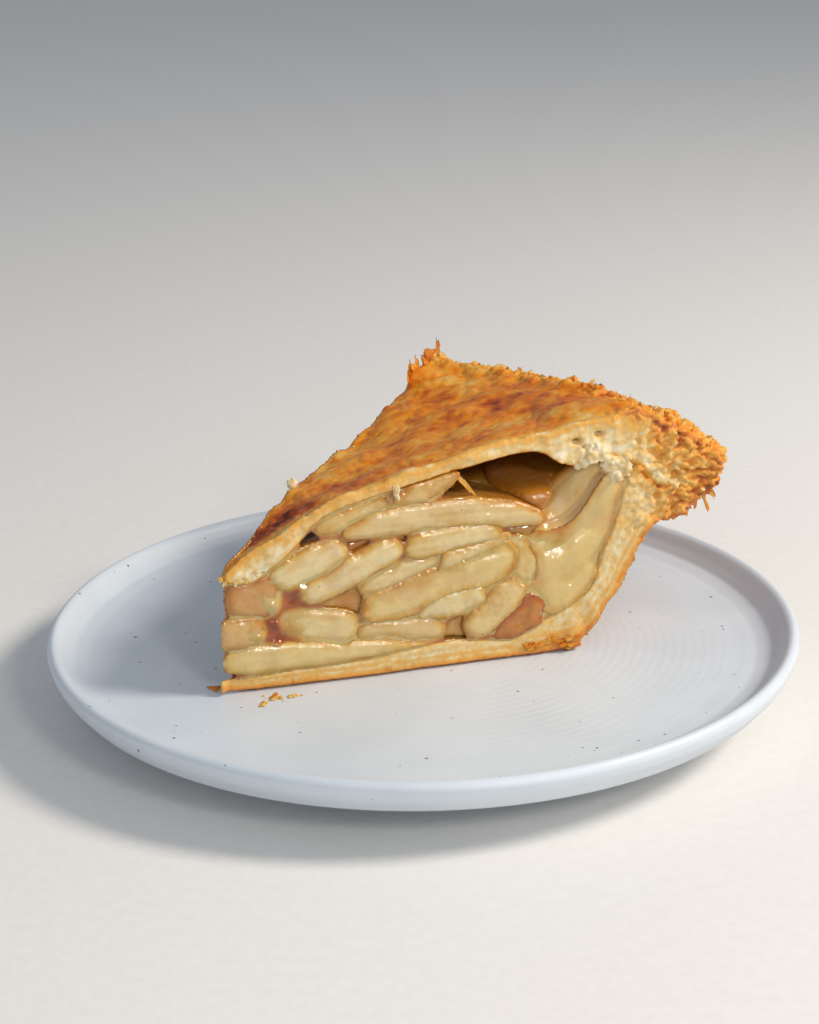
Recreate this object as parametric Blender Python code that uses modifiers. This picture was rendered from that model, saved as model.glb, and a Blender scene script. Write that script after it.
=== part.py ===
"""A slice of plain-topped apple pie on a stoneware dessert plate, at real size.

Metres, +Z up. The table is z = 0 and the plate is centred on the origin.
The slice is one eighth of a round pie and stands on the plate's floor. A point of
it is (r, v, turn): r from the pie's axis, which is the slice's tip, v above the
plate's floor, and turn from 0 at the near cut to 1 at the far cut.
"""

import math
import random

import bmesh
import bpy
from mathutils import Matrix, Vector, noise

COLLECTION = "fruit_pie_slice"

# Plate
PLATE_RADIUS = 0.1000
LIP_HEIGHT = 0.0200
LIP_WIDTH = 0.0036
FLOOR_HEIGHT = 0.0132
FLOOR_RADIUS = 0.0890
WALL_LOWER_RADIUS = 0.0960
WALL_LOWER_HEIGHT = 0.0112
FOOT_RADIUS = 0.0620
FOOT_WIDTH = 0.0040
UNDERSIDE_HEIGHT = 0.0078
PLATE_STEPS = 48

# Slice: where it stands and how wide it is cut
GAP = 0.0003
SLICE_FLOOR = FLOOR_HEIGHT + GAP
TIP = Vector((-0.0524, -0.0367, SLICE_FLOOR))
NEAR_AZIMUTH = math.radians(15.31)
WEDGE_ANGLE = math.radians(45.0)
TOP_CRUST_TURNS = 20
BOTTOM_CRUST_TURNS = 18
POCKET_GAP = 0.0005

# Crust sections as (r, v) of the outside and of the inside, both from tip to rim.
BOTTOM_SECTION = (
    ((0.0006, 0.0000), (0.0006, 0.0042)),
    ((0.0400, 0.0000), (0.0400, 0.0050)),
    ((0.0620, 0.0000), (0.0620, 0.0072)),
    ((0.0780, 0.0000), (0.0790, 0.0052)),
    ((0.0900, 0.0000), (0.0870, 0.0092)),
    ((0.0965, 0.0004), (0.0930, 0.0118)),
    ((0.1024, 0.0075), (0.0990, 0.0155)),
    ((0.1068, 0.0135), (0.1020, 0.0205)),
    ((0.1112, 0.0205), (0.1038, 0.0265)),
    ((0.1150, 0.0290), (0.1068, 0.0335)),
    ((0.1175, 0.0324), (0.1092, 0.0420)),
    ((0.1205, 0.0331), (0.1132, 0.0496)),
    ((0.1245, 0.0340), (0.1172, 0.0450)),
    ((0.1290, 0.0362), (0.1230, 0.0424)),
    ((0.1330, 0.0392), (0.1290, 0.0420)),
    ((0.1368, 0.0420), (0.1364, 0.0436)),
)
TOP_SECTION_NEAR = (
    ((0.0030, 0.0326), (0.0038, 0.0304)),
    ((0.0100, 0.0384), (0.0106, 0.0300)),
    ((0.0200, 0.0430), (0.0208, 0.0368)),
    ((0.0300, 0.0480), (0.0292, 0.0450)),
    ((0.0450, 0.0523), (0.0450, 0.0492)),
    ((0.0650, 0.0575), (0.0640, 0.0534)),
    ((0.0850, 0.0605), (0.0845, 0.0561)),
    ((0.0925, 0.0616), (0.0915, 0.0522)),
    ((0.0990, 0.0632), (0.0985, 0.0506)),
    ((0.1060, 0.0646), (0.1060, 0.0526)),
    ((0.1130, 0.0646), (0.1136, 0.0504)),
    ((0.1200, 0.0606), (0.1174, 0.0456)),
    ((0.1270, 0.0576), (0.1231, 0.0431)),
    ((0.1330, 0.0532), (0.1290, 0.0426)),
    ((0.1368, 0.0486), (0.1340, 0.0436)),
    ((0.1377, 0.0464), (0.1368, 0.0447)),
)
# The crust sags towards the far cut: how much lower its top lies there, at each r.
FAR_SAG = (
    (0.003, 0.0010),
    (0.010, 0.0040),
    (0.020, 0.0046),
    (0.045, 0.0062),
    (0.065, 0.0098),
    (0.085, 0.0068),
    (0.106, 0.0064),
    (0.115, 0.0040),
    (0.127, 0.0028),
    (0.137, 0.0008),
)
# Dough torn by the knife hangs under the crust only near the near cut.
TORN_DOUGH_START = 0.088
TORN_DOUGH_END = 0.110
TORN_DOUGH_TURN = 0.22
CRUST_THICKNESS = 0.0046
# Nearer the rim the underside doesn't sag, since it lies on the bottom crust.
SAG_END = 0.106
SAG_FADE = 0.007
# The pocket for the fruit ends where the two crusts meet.
POCKET_PAIRS = 12
POCKET_END = 0.1125

# Relief of the baked surface
FOLD_HEIGHT = 0.0007
FOLD_SPACING = 0.0115
FOLD_SLANT = 0.22
FOLD_WANDER = 1.4
FOLD_WANDER_SIZE = 0.030
SMOOTH_TIP = 0.030
BLISTER_HEIGHT = 0.0007
BLISTER_SPACING = 0.0110
RIM_START = 0.114
RIM_FADE = 0.008
RIM_FOLD_LOSS = 0.6
CRAG_HEIGHT = 0.0015
CRAG_SPACING = 0.0046
CRIMP_HEIGHT = 0.0011
CRIMP_PITCH = 0.0170
RAGGED_CUT = 0.0005
RAGGED_SIZE = 0.0035
RAGGED_SHARE = 1.6
WALL_START = 0.002
WALL_FADE = 0.006
WALL_CRAGS = 0.5
RIM_CRAGS = 1.1
# Flakes at the far corner: r of each, its half width, and its share of the height
FLAKE_HEIGHT = 0.0034
FLAKES = ((0.104, 0.0045, 1.0), (0.115, 0.0030, 0.8))
FLAKE_TURN = 0.90

# Filling: height of the packed fruit and syrup by r, at three turns of the wedge
FRUIT_TOPS = (
    (0.0, (
        (0.012, 0.0290), (0.035, 0.0370), (0.060, 0.0425),
        (0.078, 0.0400), (0.090, 0.0390), (0.111, 0.0480),
    )),
    (0.4, (
        (0.012, 0.0285), (0.035, 0.0375), (0.060, 0.0440),
        (0.078, 0.0475), (0.090, 0.0490), (0.111, 0.0485),
    )),
    (1.0, (
        (0.012, 0.0275), (0.035, 0.0350), (0.060, 0.0375),
        (0.078, 0.0395), (0.090, 0.0410), (0.111, 0.0470),
    )),
)
FILLING_RECESS = 0.0020
FILLING_START = 0.0120
FILLING_WALL_TOP = 0.0460
FILLING_THINNEST = 0.0010
SPINE = 0.0018
FILLING_TURNS = 5
POCKET_TURNS = 6

# Fruit slices that show at the near cut, those in front first, since each gives way to
# the ones before it. u runs along the cut from the tip and v above
# the floor to the slice's middle; then length, thickness, tilt in degrees, bend of the
# middle line, taper (below 0 is thinner to the right) and how square its ends are.
NEAR_FRUIT = {
    "left_bar": (0.0250, 0.0326, 0.0205, 0.0084, 19, 0.0, 0.0, 5),
    "mid_bar": (0.0360, 0.0294, 0.0286, 0.0072, 23, 0.0002, 0.0, 6),
    "left_trapezoid": (0.0268, 0.0156, 0.0206, 0.0082, -14, 0.0002, 0.2, 7),
    "base_slab": (0.0295, 0.0074, 0.0570, 0.0062, -2.5, 0.0006, -0.4, 6),
    "base_bar": (0.0486, 0.0113, 0.0240, 0.0062, -4, 0.0002, 0.0, 8),
    "low_bar": (0.0626, 0.0170, 0.0186, 0.0068, 13, 0.0002, 0.0, 6),
    "upper_bar": (0.0630, 0.0347, 0.0256, 0.0062, 5, 0.0006, -0.3, 7),
    "thin_bar": (0.0490, 0.0272, 0.0230, 0.0056, 18, 0.0002, 0.0, 6),
    "tip_lower": (0.0066, 0.0158, 0.0128, 0.0076, 2, 0.0004, 0.0, 5),
    "tip_upper": (0.0104, 0.0254, 0.0136, 0.0108, -2, 0.0003, 0.0, 7),
    "long_crescent": (0.0610, 0.0386, 0.0546, 0.0072, -2, 0.0036, 0.0, 3),
    "right_strip": (0.0676, 0.0314, 0.0220, 0.0046, 16, 0.0002, -0.3, 4),
    "wide_slab": (0.0595, 0.0236, 0.0425, 0.0098, 16, -0.0002, 0.15, 6),
    "end_lens": (0.0816, 0.0266, 0.0140, 0.0080, 112, 0.0, 0.0, 3),
    "wedge_bar": (0.0742, 0.0148, 0.0200, 0.0084, 40, 0.0, 0.0, 4),
    "amber_piece": (0.0796, 0.0112, 0.0165, 0.0104, 20, 0.0, 0.0, 3),
    "back_slab_low": (0.0970, 0.0290, 0.0380, 0.0250, 66, 0.0, 0.0, 5),
    "back_slab_high": (0.0940, 0.0410, 0.0360, 0.0056, 8, -0.0006, 0.0, 4),
    "crust_slab_left": (0.0364, 0.0443, 0.0205, 0.0064, 14, 0.0002, 0.1, 6),
    "crust_slab_right": (0.0562, 0.0490, 0.0190, 0.0052, 24, -0.0001, -0.4, 5),
}
# This slab lies behind the others and climbs towards the crust as it goes in.
CLIMBING_SLAB = "back_slab_high"
CLIMB = 0.42
CLIMBING_START = 0.0020
# These reach from the near cut to the far one: there is no room for two at the tip.
THROUGH_FRUIT = ("base_slab", "tip_lower", "tip_upper")
NEAR_DEPTH = 0.018
BASE_SLAB_DEPTH = 0.008
FRUIT_POINTS = 7
FRUIT_POINT_SPREAD = 0.8
FRUIT_EDGE = 0.0006
FRUIT_BACK_SCALE = 0.93
FRUIT_SET_BACK = 0.0012
FRUIT_FRONT_CLEARANCE = 0.0040
FAR_CUT_SET_BACK = 0.0006

# Fruit slices at the far cut lie in rows: height, start and end of each row
FAR_SEED = 7
FAR_DEPTH = 0.016
FAR_ROWS = (
    (0.0088, 0.020, 0.084),
    (0.0158, 0.025, 0.096),
    (0.0228, 0.026, 0.101),
    (0.0298, 0.028, 0.104),
    (0.0362, 0.048, 0.107),
)
FAR_LENGTH = (0.017, 0.029)
FAR_THICKNESS = (0.0052, 0.0072)
FAR_SPACE = 0.0006
FAR_TILT = 11.0
FAR_BEND = 0.0010
FAR_TAPER = 0.30
FAR_BLUNT = (3, 7)

# Colours
GLAZE_WHITE = (0.78, 0.79, 0.81, 1.0)
CRUST_GOLD = (0.62, 0.33, 0.10, 1.0)
CRUST_BROWN = (0.60, 0.30, 0.08, 1.0)
SYRUP_AMBER = (0.45, 0.22, 0.07, 1.0)
FRUIT_CREAM = (0.74, 0.62, 0.33, 1.0)


def clear_scene():
    for obj in list(bpy.data.objects):
        bpy.data.objects.remove(obj, do_unlink=True)


def new_collection(name):
    collection = bpy.data.collections.new(name)
    bpy.context.scene.collection.children.link(collection)
    return collection


def new_material(name, colour, roughness):
    material = bpy.data.materials.new(name)
    material.use_nodes = True
    shader = material.node_tree.nodes["Principled BSDF"]
    shader.inputs["Base Color"].default_value = colour
    shader.inputs["Roughness"].default_value = roughness
    shader.inputs["Metallic"].default_value = 0.0
    return material


def add_object(name, bm, collection, material):
    """Turns bm into an object with its faces pointing out, shaded smooth over soft edges."""
    bmesh.ops.recalc_face_normals(bm, faces=bm.faces)
    mesh = bpy.data.meshes.new(name)
    bm.to_mesh(mesh)
    bm.free()
    mesh.materials.append(material)
    mesh.shade_smooth()
    mesh.set_sharp_from_angle(angle=math.radians(35))
    obj = bpy.data.objects.new(name, mesh)
    collection.objects.link(obj)
    return obj


def between(points, x):
    """Height at x on the broken line through points, held level beyond its ends."""
    if x <= points[0][0]:
        return points[0][1]
    for (x0, y0), (x1, y1) in zip(points, points[1:]):
        if x <= x1:
            return y0 + (y1 - y0) * (x - x0) / (x1 - x0)
    return points[-1][1]


def smooth_step(x):
    x = min(1.0, max(0.0, x))
    return x * x * (3 - 2 * x)


def curve_through(points, pieces):
    """Catmull-Rom curve through 2D points, with that many pieces between each two."""
    points = [Vector(point) for point in points]
    ends = [2 * points[0] - points[1], *points, 2 * points[-1] - points[-2]]
    curve = []
    for a, b, c, d in zip(ends, ends[1:], ends[2:], ends[3:]):
        for step in range(pieces):
            x = step / pieces
            along = (c - a) * x + (2 * a - 5 * b + 4 * c - d) * x**2 + (3 * b - a - 3 * c + d) * x**3
            curve.append(b + along / 2)
    return [*curve, points[-1]]


def place(r, v, turn):
    """World point of (r, v) on the ray from the tip at that turn of the wedge."""
    angle = NEAR_AZIMUTH + turn * WEDGE_ANGLE
    return TIP + Vector((r * math.cos(angle), r * math.sin(angle), v))


def wedge_loft(section_at, turns):
    """Solid swept from the near cut to the far cut.

    section_at(turn) gives the outside and the inside as lists of world points. Both
    have the same number of points, so each cut face is a strip of quads.
    """
    bm = bmesh.new()
    rings = []
    for step in range(turns + 1):
        outside, inside = section_at(step / turns)
        rings.append([bm.verts.new(point) for point in [*outside, *reversed(inside)]])
    count = len(rings[0])
    for ring, following in zip(rings, rings[1:]):
        for i in range(count):
            j = (i + 1) % count
            bm.faces.new((ring[i], ring[j], following[j], following[i]))
    for ring in (rings[0], rings[-1]):
        for i in range(count // 2 - 1):
            bm.faces.new((ring[i], ring[i + 1], ring[count - 2 - i], ring[count - 1 - i]))
    return bm


def outward_shift(path, heights):
    """Moves each point of an (r, v) path along its left-hand normal by its height."""
    moved = []
    for i, point in enumerate(path):
        along = path[min(i + 1, len(path) - 1)] - path[max(i - 1, 0)]
        normal = Vector((-along.y, along.x)).normalized()
        moved.append(point + normal * heights[i])
    return moved


def crust_relief(r, v, turn):
    """Height of folds and blisters on the baked top, growing to crags on the rim."""
    arc = r * turn * WEDGE_ANGLE
    spot = Vector((r, arc, v))
    wander = FOLD_WANDER * noise.noise(spot / FOLD_WANDER_SIZE)
    fold = math.sin(math.tau * ((arc + FOLD_SLANT * r) / FOLD_SPACING + wander))
    blister = noise.noise(spot / BLISTER_SPACING)
    crag = noise.noise(spot / CRAG_SPACING)
    crimp = math.sin(math.tau * arc / CRIMP_PITCH)
    rim = smooth_step((r - RIM_START) / RIM_FADE)
    calm = (FOLD_HEIGHT * fold + 2 * BLISTER_HEIGHT * blister) * smooth_step(r / SMOOTH_TIP)
    return calm * (1 - RIM_FOLD_LOSS * rim) + rim * (CRIMP_HEIGHT * crimp + 2 * CRAG_HEIGHT * crag)


def flake(r, turn):
    """Height of the flakes that stand up at the far corner of the crust."""
    corner = sum(share * math.exp(-(((r - at) / width) ** 2)) for at, width, share in FLAKES)
    return FLAKE_HEIGHT * corner * smooth_step((turn - FLAKE_TURN) / (1 - FLAKE_TURN))


def ragged(points, turn):
    """Pushes points of a cut face in or out a little, as a knife leaves pastry."""
    if 0 < turn < 1:
        return points
    angle = NEAR_AZIMUTH + turn * WEDGE_ANGLE
    inward = Vector((-math.sin(angle), math.cos(angle), 0)) * (1 - 2 * turn)
    moved = []
    for point in points:
        depth = RAGGED_CUT * (1 + RAGGED_SHARE * noise.noise(point / RAGGED_SIZE))
        moved.append(point + inward * depth)
    return moved


def bottom_section(turn):
    outside = curve_through([pair[0] for pair in BOTTOM_SECTION], 2)
    inside = curve_through([pair[1] for pair in BOTTOM_SECTION], 2)
    heights = []
    for r, v in outside:
        crag = noise.noise(Vector((r, r * turn * WEDGE_ANGLE, v)) / CRAG_SPACING)
        wall = smooth_step((v - WALL_START) / WALL_FADE)
        rim = smooth_step((r - RIM_START) / RIM_FADE)
        heights.append(-CRAG_HEIGHT * crag * wall * (WALL_CRAGS + RIM_CRAGS * rim))
    heights[-1] = 0.0
    outside = outward_shift(outside, heights)
    return (
        ragged([place(r, max(v, 0.0), turn) for r, v in outside], turn),
        ragged([place(r, v, turn) for r, v in inside], turn),
    )


def top_inside(turn):
    """Underside of the top crust at that turn, as (r, v) points."""
    inside = curve_through([pair[1] for pair in TOP_SECTION_NEAR], 3)
    outside = curve_through([pair[0] for pair in TOP_SECTION_NEAR], 3)
    path = []
    for (r, v), (_, top) in zip(inside, outside):
        if TORN_DOUGH_START < r < TORN_DOUGH_END:
            whole = max(v, top - CRUST_THICKNESS)
            v += (whole - v) * smooth_step(turn / TORN_DOUGH_TURN)
        sag = between(FAR_SAG, r) * (1 - smooth_step((r - SAG_END) / SAG_FADE))
        path.append(Vector((r, v - sag * turn)))
    return path


def top_outside(turn):
    """Top of the top crust at that turn, with its relief, as (r, v) points."""
    path = []
    for r, v in curve_through([pair[0] for pair in TOP_SECTION_NEAR], 3):
        path.append(Vector((r, v - between(FAR_SAG, r) * turn)))
    heights = [crust_relief(r, v, turn) + flake(r, turn) for r, v in path]
    heights[0] = heights[-1] = 0.0
    return outward_shift(path, heights)


def top_section(turn):
    return (
        ragged([place(r, v, turn) for r, v in top_outside(turn)], turn),
        ragged([place(r, v, turn) for r, v in top_inside(turn)], turn),
    )


def pocket_section(turn):
    """Space between the crusts that fruit may fill, POCKET_GAP clear of both."""
    floor = curve_through([pair[1] for pair in BOTTOM_SECTION[:POCKET_PAIRS]], 2)
    ceiling = [point for point in top_inside(turn) if point.x < POCKET_END]
    spread = (len(ceiling) - 1) / (len(floor) - 1)
    ceiling = [ceiling[round(i * spread)] for i in range(len(floor))]
    lower = outward_shift(floor, [POCKET_GAP] * len(floor))
    upper = outward_shift(ceiling, [-POCKET_GAP] * len(ceiling))
    top = upper[-1].y
    lower = [point for point in lower if point.y < top]
    lower += [lower[-1]] * (len(upper) - len(lower))
    return [place(r, v, turn) for r, v in upper], [place(r, v, turn) for r, v in lower]


def cut_frame(turn):
    """Unit vectors along a cut face and into the slice, for turn 0 or 1."""
    angle = NEAR_AZIMUTH + turn * WEDGE_ANGLE
    along = Vector((math.cos(angle), math.sin(angle), 0))
    inward = Vector((-math.sin(angle), math.cos(angle), 0)) * (1 - 2 * turn)
    return along, inward


def trim(bm, point, outward):
    """Cuts away all of bm on the outward side of a plane, and closes the cut."""
    everything = [*bm.verts, *bm.edges, *bm.faces]
    cut = bmesh.ops.bisect_plane(
        bm, geom=everything, plane_co=point, plane_no=outward, clear_outer=True, dist=1e-7
    )
    edges = [item for item in cut["geom_cut"] if isinstance(item, bmesh.types.BMEdge)]
    if edges:
        bmesh.ops.holes_fill(bm, edges=edges, sides=0)


def fruit_outline(u, v, length, thickness, tilt, bend, taper, blunt):
    """Closed outline of a cut fruit slice: a bar with round ends, bent and tapered."""
    turned = Matrix.Rotation(math.radians(tilt), 2)
    points = []
    for side in (1, -1):
        for k in range(FRUIT_POINTS):
            cosine = math.cos(math.pi * k / FRUIT_POINTS) * side
            s = math.copysign(abs(cosine) ** FRUIT_POINT_SPREAD, cosine)
            half = thickness / 2 * math.sqrt(max(0.0, 1 - abs(s) ** blunt)) * (1 + taper * s)
            spot = Vector((length / 2 * s, bend * (1 - s * s) + half * side))
            points.append(Vector((u, v)) + turned @ spot)
    return points


def fruit_bmesh(outline, turn, start, depth, climb, grow=0.0):
    """Prism from an outline on a cut face, narrowing and climbing as it goes in.

    With grow it is fatter by that much, and is the space the slice takes from others.
    """
    along, inward = cut_frame(turn)
    middle = sum(outline, Vector((0, 0))) / len(outline)
    rings = []
    bm = bmesh.new()
    front = (start - FRUIT_FRONT_CLEARANCE, 0.0) if grow else (start, -FRUIT_EDGE)
    levels = [front, (start + FRUIT_EDGE, 0.0), (start + depth + grow, None)]
    for level, inset in levels:
        ring = []
        for i, point in enumerate(outline):
            edge = outline[(i + 1) % len(outline)] - outline[i - 1]
            normal = Vector((edge.y, -edge.x)).normalized()
            scaled = middle + (point - middle) * (FRUIT_BACK_SCALE if inset is None else 1.0)
            flat = scaled + normal * (grow + (inset or 0.0))
            lift = Vector((0, 0, flat.y + climb * (level - start)))
            ring.append(bm.verts.new(TIP + along * flat.x + inward * level + lift))
        rings.append(ring)
    for ring, following in zip(rings, rings[1:]):
        for i in range(len(ring)):
            j = (i + 1) % len(ring)
            bm.faces.new((ring[i], ring[j], following[j], following[i]))
    bm.faces.new(rings[0])
    bm.faces.new(rings[-1])
    bmesh.ops.recalc_face_normals(bm, faces=bm.faces)
    return bm


def apply_boolean(obj, other, operation):
    modifier = obj.modifiers.new(operation, "BOOLEAN")
    modifier.operation = operation
    modifier.solver = "EXACT"
    modifier.object = other
    graph = bpy.context.evaluated_depsgraph_get()
    mesh = bpy.data.meshes.new_from_object(obj.evaluated_get(graph))
    obj.modifiers.remove(modifier)
    old = obj.data
    obj.data = mesh
    mesh.name = obj.name
    bpy.data.meshes.remove(old)


def volume_of(faces):
    """Three times the volume inside closed faces, which is enough to compare them."""
    return abs(sum(face.calc_area() * face.normal.dot(face.calc_center_median() - TIP) for face in faces))


def keep_largest_piece(obj):
    """Drops the loose scraps that cutting leaves, and keeps the piece of most volume."""
    bm = bmesh.new()
    bm.from_mesh(obj.data)
    unseen = set(bm.faces)
    pieces = []
    while unseen:
        piece = {unseen.pop()}
        border = list(piece)
        while border:
            face = border.pop()
            for edge in face.edges:
                for neighbour in edge.link_faces:
                    if neighbour not in piece:
                        piece.add(neighbour)
                        border.append(neighbour)
        unseen -= piece
        pieces.append(piece)
    keep = max(pieces, key=volume_of)
    scraps = [face for face in bm.faces if face not in keep]
    bmesh.ops.delete(bm, geom=scraps, context="FACES")
    bm.to_mesh(obj.data)
    bm.free()


def boxes_meet(a, b):
    corners_a = [vertex.co for vertex in a.data.vertices]
    corners_b = [vertex.co for vertex in b.data.vertices]
    for axis in range(3):
        if max(c[axis] for c in corners_a) < min(c[axis] for c in corners_b):
            return False
        if max(c[axis] for c in corners_b) < min(c[axis] for c in corners_a):
            return False
    return True


def far_rows():
    """Outlines of the fruit at the far cut: rows of seeded bars from tip to wall."""
    draw = random.Random(FAR_SEED)
    outlines = []
    for v, start, end in FAR_ROWS:
        u = start
        while u < end - FAR_LENGTH[0] / 2:
            length = min(draw.uniform(*FAR_LENGTH), end - u)
            thickness = draw.uniform(*FAR_THICKNESS)
            tilt = draw.uniform(-FAR_TILT, FAR_TILT)
            bend = draw.uniform(-FAR_BEND, FAR_BEND)
            taper = draw.uniform(-FAR_TAPER, FAR_TAPER)
            blunt = draw.randint(*FAR_BLUNT)
            outlines.append(fruit_outline(u + length / 2, v, length, thickness, tilt, bend, taper, blunt))
            u += length + FAR_SPACE
    return outlines


def add_plate(collection):
    """Turned plate: a flat floor, a short wall with a round lip, and a foot ring below."""
    lip_round = LIP_WIDTH / 2
    lip = []
    for degrees in (90, 60, 30, 0):
        angle = math.radians(degrees)
        out, up = lip_round * math.cos(angle), lip_round * math.sin(angle)
        lip.append((PLATE_RADIUS - lip_round + out, LIP_HEIGHT - lip_round + up))
    inner_lip = PLATE_RADIUS - LIP_WIDTH
    foot_inner = FOOT_RADIUS - FOOT_WIDTH
    profile = [
        (0.0, FLOOR_HEIGHT),
        (0.0450, FLOOR_HEIGHT),
        (0.0840, FLOOR_HEIGHT),
        (FLOOR_RADIUS, FLOOR_HEIGHT + 0.0003),
        (FLOOR_RADIUS + 0.0040, FLOOR_HEIGHT + 0.0014),
        (inner_lip - 0.0012, FLOOR_HEIGHT + 0.0036),
        (inner_lip + 0.0004, LIP_HEIGHT - 0.0010),
        *lip,
        (PLATE_RADIUS - 0.0010, LIP_HEIGHT - 0.0056),
        (WALL_LOWER_RADIUS, WALL_LOWER_HEIGHT),
        (0.0860, 0.0088),
        (FOOT_RADIUS + 0.0020, 0.0058),
        (FOOT_RADIUS, 0.0006),
        (FOOT_RADIUS - 0.0006, 0.0),
        (foot_inner + 0.0006, 0.0),
        (foot_inner, 0.0006),
        (foot_inner - 0.0010, UNDERSIDE_HEIGHT - 0.0006),
        (foot_inner - 0.0040, UNDERSIDE_HEIGHT),
        (0.0, UNDERSIDE_HEIGHT),
    ]
    mesh = bpy.data.meshes.new("plate")
    edges = [(i, i + 1) for i in range(len(profile) - 1)]
    mesh.from_pydata([(r, 0, z) for r, z in profile], edges, [])
    mesh.materials.append(new_material("speckled_stoneware_glaze", GLAZE_WHITE, 0.45))
    plate = bpy.data.objects.new("plate", mesh)
    collection.objects.link(plate)
    screw = plate.modifiers.new("turn", "SCREW")
    screw.steps = PLATE_STEPS
    screw.render_steps = PLATE_STEPS
    screw.use_merge_vertices = True
    screw.merge_threshold = 0.00001
    screw.use_smooth_shade = True


def add_bottom_crust(collection):
    crust = wedge_loft(bottom_section, BOTTOM_CRUST_TURNS)
    add_object("bottom_crust", crust, collection, new_material("baked_bottom_crust", CRUST_GOLD, 0.7))


def add_top_crust(collection):
    crust = wedge_loft(top_section, TOP_CRUST_TURNS)
    add_object("top_crust", crust, collection, new_material("baked_top_crust", CRUST_BROWN, 0.5))


def spine_plane(turn):
    """Point and outward normal of the plane that stops a cut's fruit short of the middle."""
    angle = NEAR_AZIMUTH + WEDGE_ANGLE / 2
    outward = Vector((-math.sin(angle), math.cos(angle), 0)) * (1 - 2 * turn)
    return TIP - outward * SPINE, outward


def add_fruit(parts, cutters):
    """The fruit slices of both cuts, each trimmed to the pocket and clear of the others."""
    material = new_material("stewed_fruit", FRUIT_CREAM, 0.35)
    pocket = add_object("pocket", wedge_loft(pocket_section, POCKET_TURNS), cutters, material)
    draw = random.Random(FAR_SEED)
    wanted = []
    for name, row in NEAR_FRUIT.items():
        wanted.append((name, fruit_outline(*row), 0))
    for number, outline in enumerate(far_rows(), 1):
        wanted.append((f"far_fruit_{number:02d}", outline, 1))
    _, far_inward = cut_frame(1)
    fruit = []
    for name, outline, turn in wanted:
        depth = FAR_DEPTH if turn else NEAR_DEPTH
        if name == "base_slab":
            depth = BASE_SLAB_DEPTH
        start = draw.uniform(0.0, FRUIT_SET_BACK)
        climb = 0.0
        if name == CLIMBING_SLAB:
            start = CLIMBING_START
            climb = CLIMB
        shapes = [fruit_bmesh(outline, turn, start, depth, climb, grow) for grow in (0.0, GAP)]
        for bm, spare in zip(shapes, (0.0, GAP)):
            if name in THROUGH_FRUIT:
                trim(bm, TIP + far_inward * (FAR_CUT_SET_BACK if spare == 0 else -GAP), -far_inward)
            else:
                point, outward = spine_plane(turn)
                trim(bm, point + outward * spare, outward)
        solid = add_object(name, shapes[0], parts, material)
        around = add_object(name + "_space", shapes[1], cutters, material)
        apply_boolean(solid, pocket, "INTERSECT")
        for _, other in fruit:
            if boxes_meet(solid, other):
                apply_boolean(solid, other, "DIFFERENCE")
        keep_largest_piece(solid)
        fruit.append((solid, around))
    return fruit


def fruit_top(r, turn):
    """Height of the packed fruit at r, between the profiles of FRUIT_TOPS."""
    heights = [(at, between(profile, r)) for at, profile in FRUIT_TOPS]
    return between(heights, turn)


def filling_section(turn):
    """Core of syrup and packed fruit, from the bottom crust up to the fruit's top."""
    crust = curve_through([pair[1] for pair in BOTTOM_SECTION[:POCKET_PAIRS]], 2)
    lower = outward_shift(crust, [POCKET_GAP] * len(crust))
    lower = [point for point in lower if point.x > FILLING_START and point.y < FILLING_WALL_TOP]
    upper = [Vector((r, max(fruit_top(r, turn), v + FILLING_THINNEST))) for r, v in lower]
    return [place(r, v, turn) for r, v in upper], [place(r, v, turn) for r, v in lower]


def add_filling(parts, fruit):
    """The core shows as syrup between the slices, a little back from both cuts."""
    bm = wedge_loft(filling_section, FILLING_TURNS)
    for turn in (0, 1):
        _, inward = cut_frame(turn)
        bmesh.ops.recalc_face_normals(bm, faces=bm.faces)
        trim(bm, TIP + inward * FILLING_RECESS, -inward)
    filling = add_object("filling", bm, parts, new_material("spiced_syrup", SYRUP_AMBER, 0.2))
    for _, around in fruit:
        if boxes_meet(filling, around):
            apply_boolean(filling, around, "DIFFERENCE")
    keep_largest_piece(filling)


def main():
    clear_scene()
    parts = new_collection(COLLECTION)
    cutters = new_collection("cutters")
    add_plate(parts)
    add_bottom_crust(parts)
    add_top_crust(parts)
    fruit = add_fruit(parts, cutters)
    add_filling(parts, fruit)
    for cutter in cutters.objects:
        cutter.hide_render = True
        cutter.display_type = "WIRE"


main()
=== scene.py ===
# %% [markdown]
# # A slice of double-crust fruit pie on a stoneware plate
# The CAD model gives the slice's place, size and main forms: a plate, two crusts,
# thirty-five slices of stewed fruit and the syrup between them. This lesson dresses
# them. Food is soft and torn, so each food solid is copied as a fine even mesh,
# modelled by moving its points, and given marks (toast, cut, core) that the
# materials read.

# %% Load the frame
import math
import random

import bmesh
import bpy
import numpy as np
from mathutils import Matrix, Vector, noise
from mathutils.bvhtree import BVHTree
from mathutils.kdtree import KDTree


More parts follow.
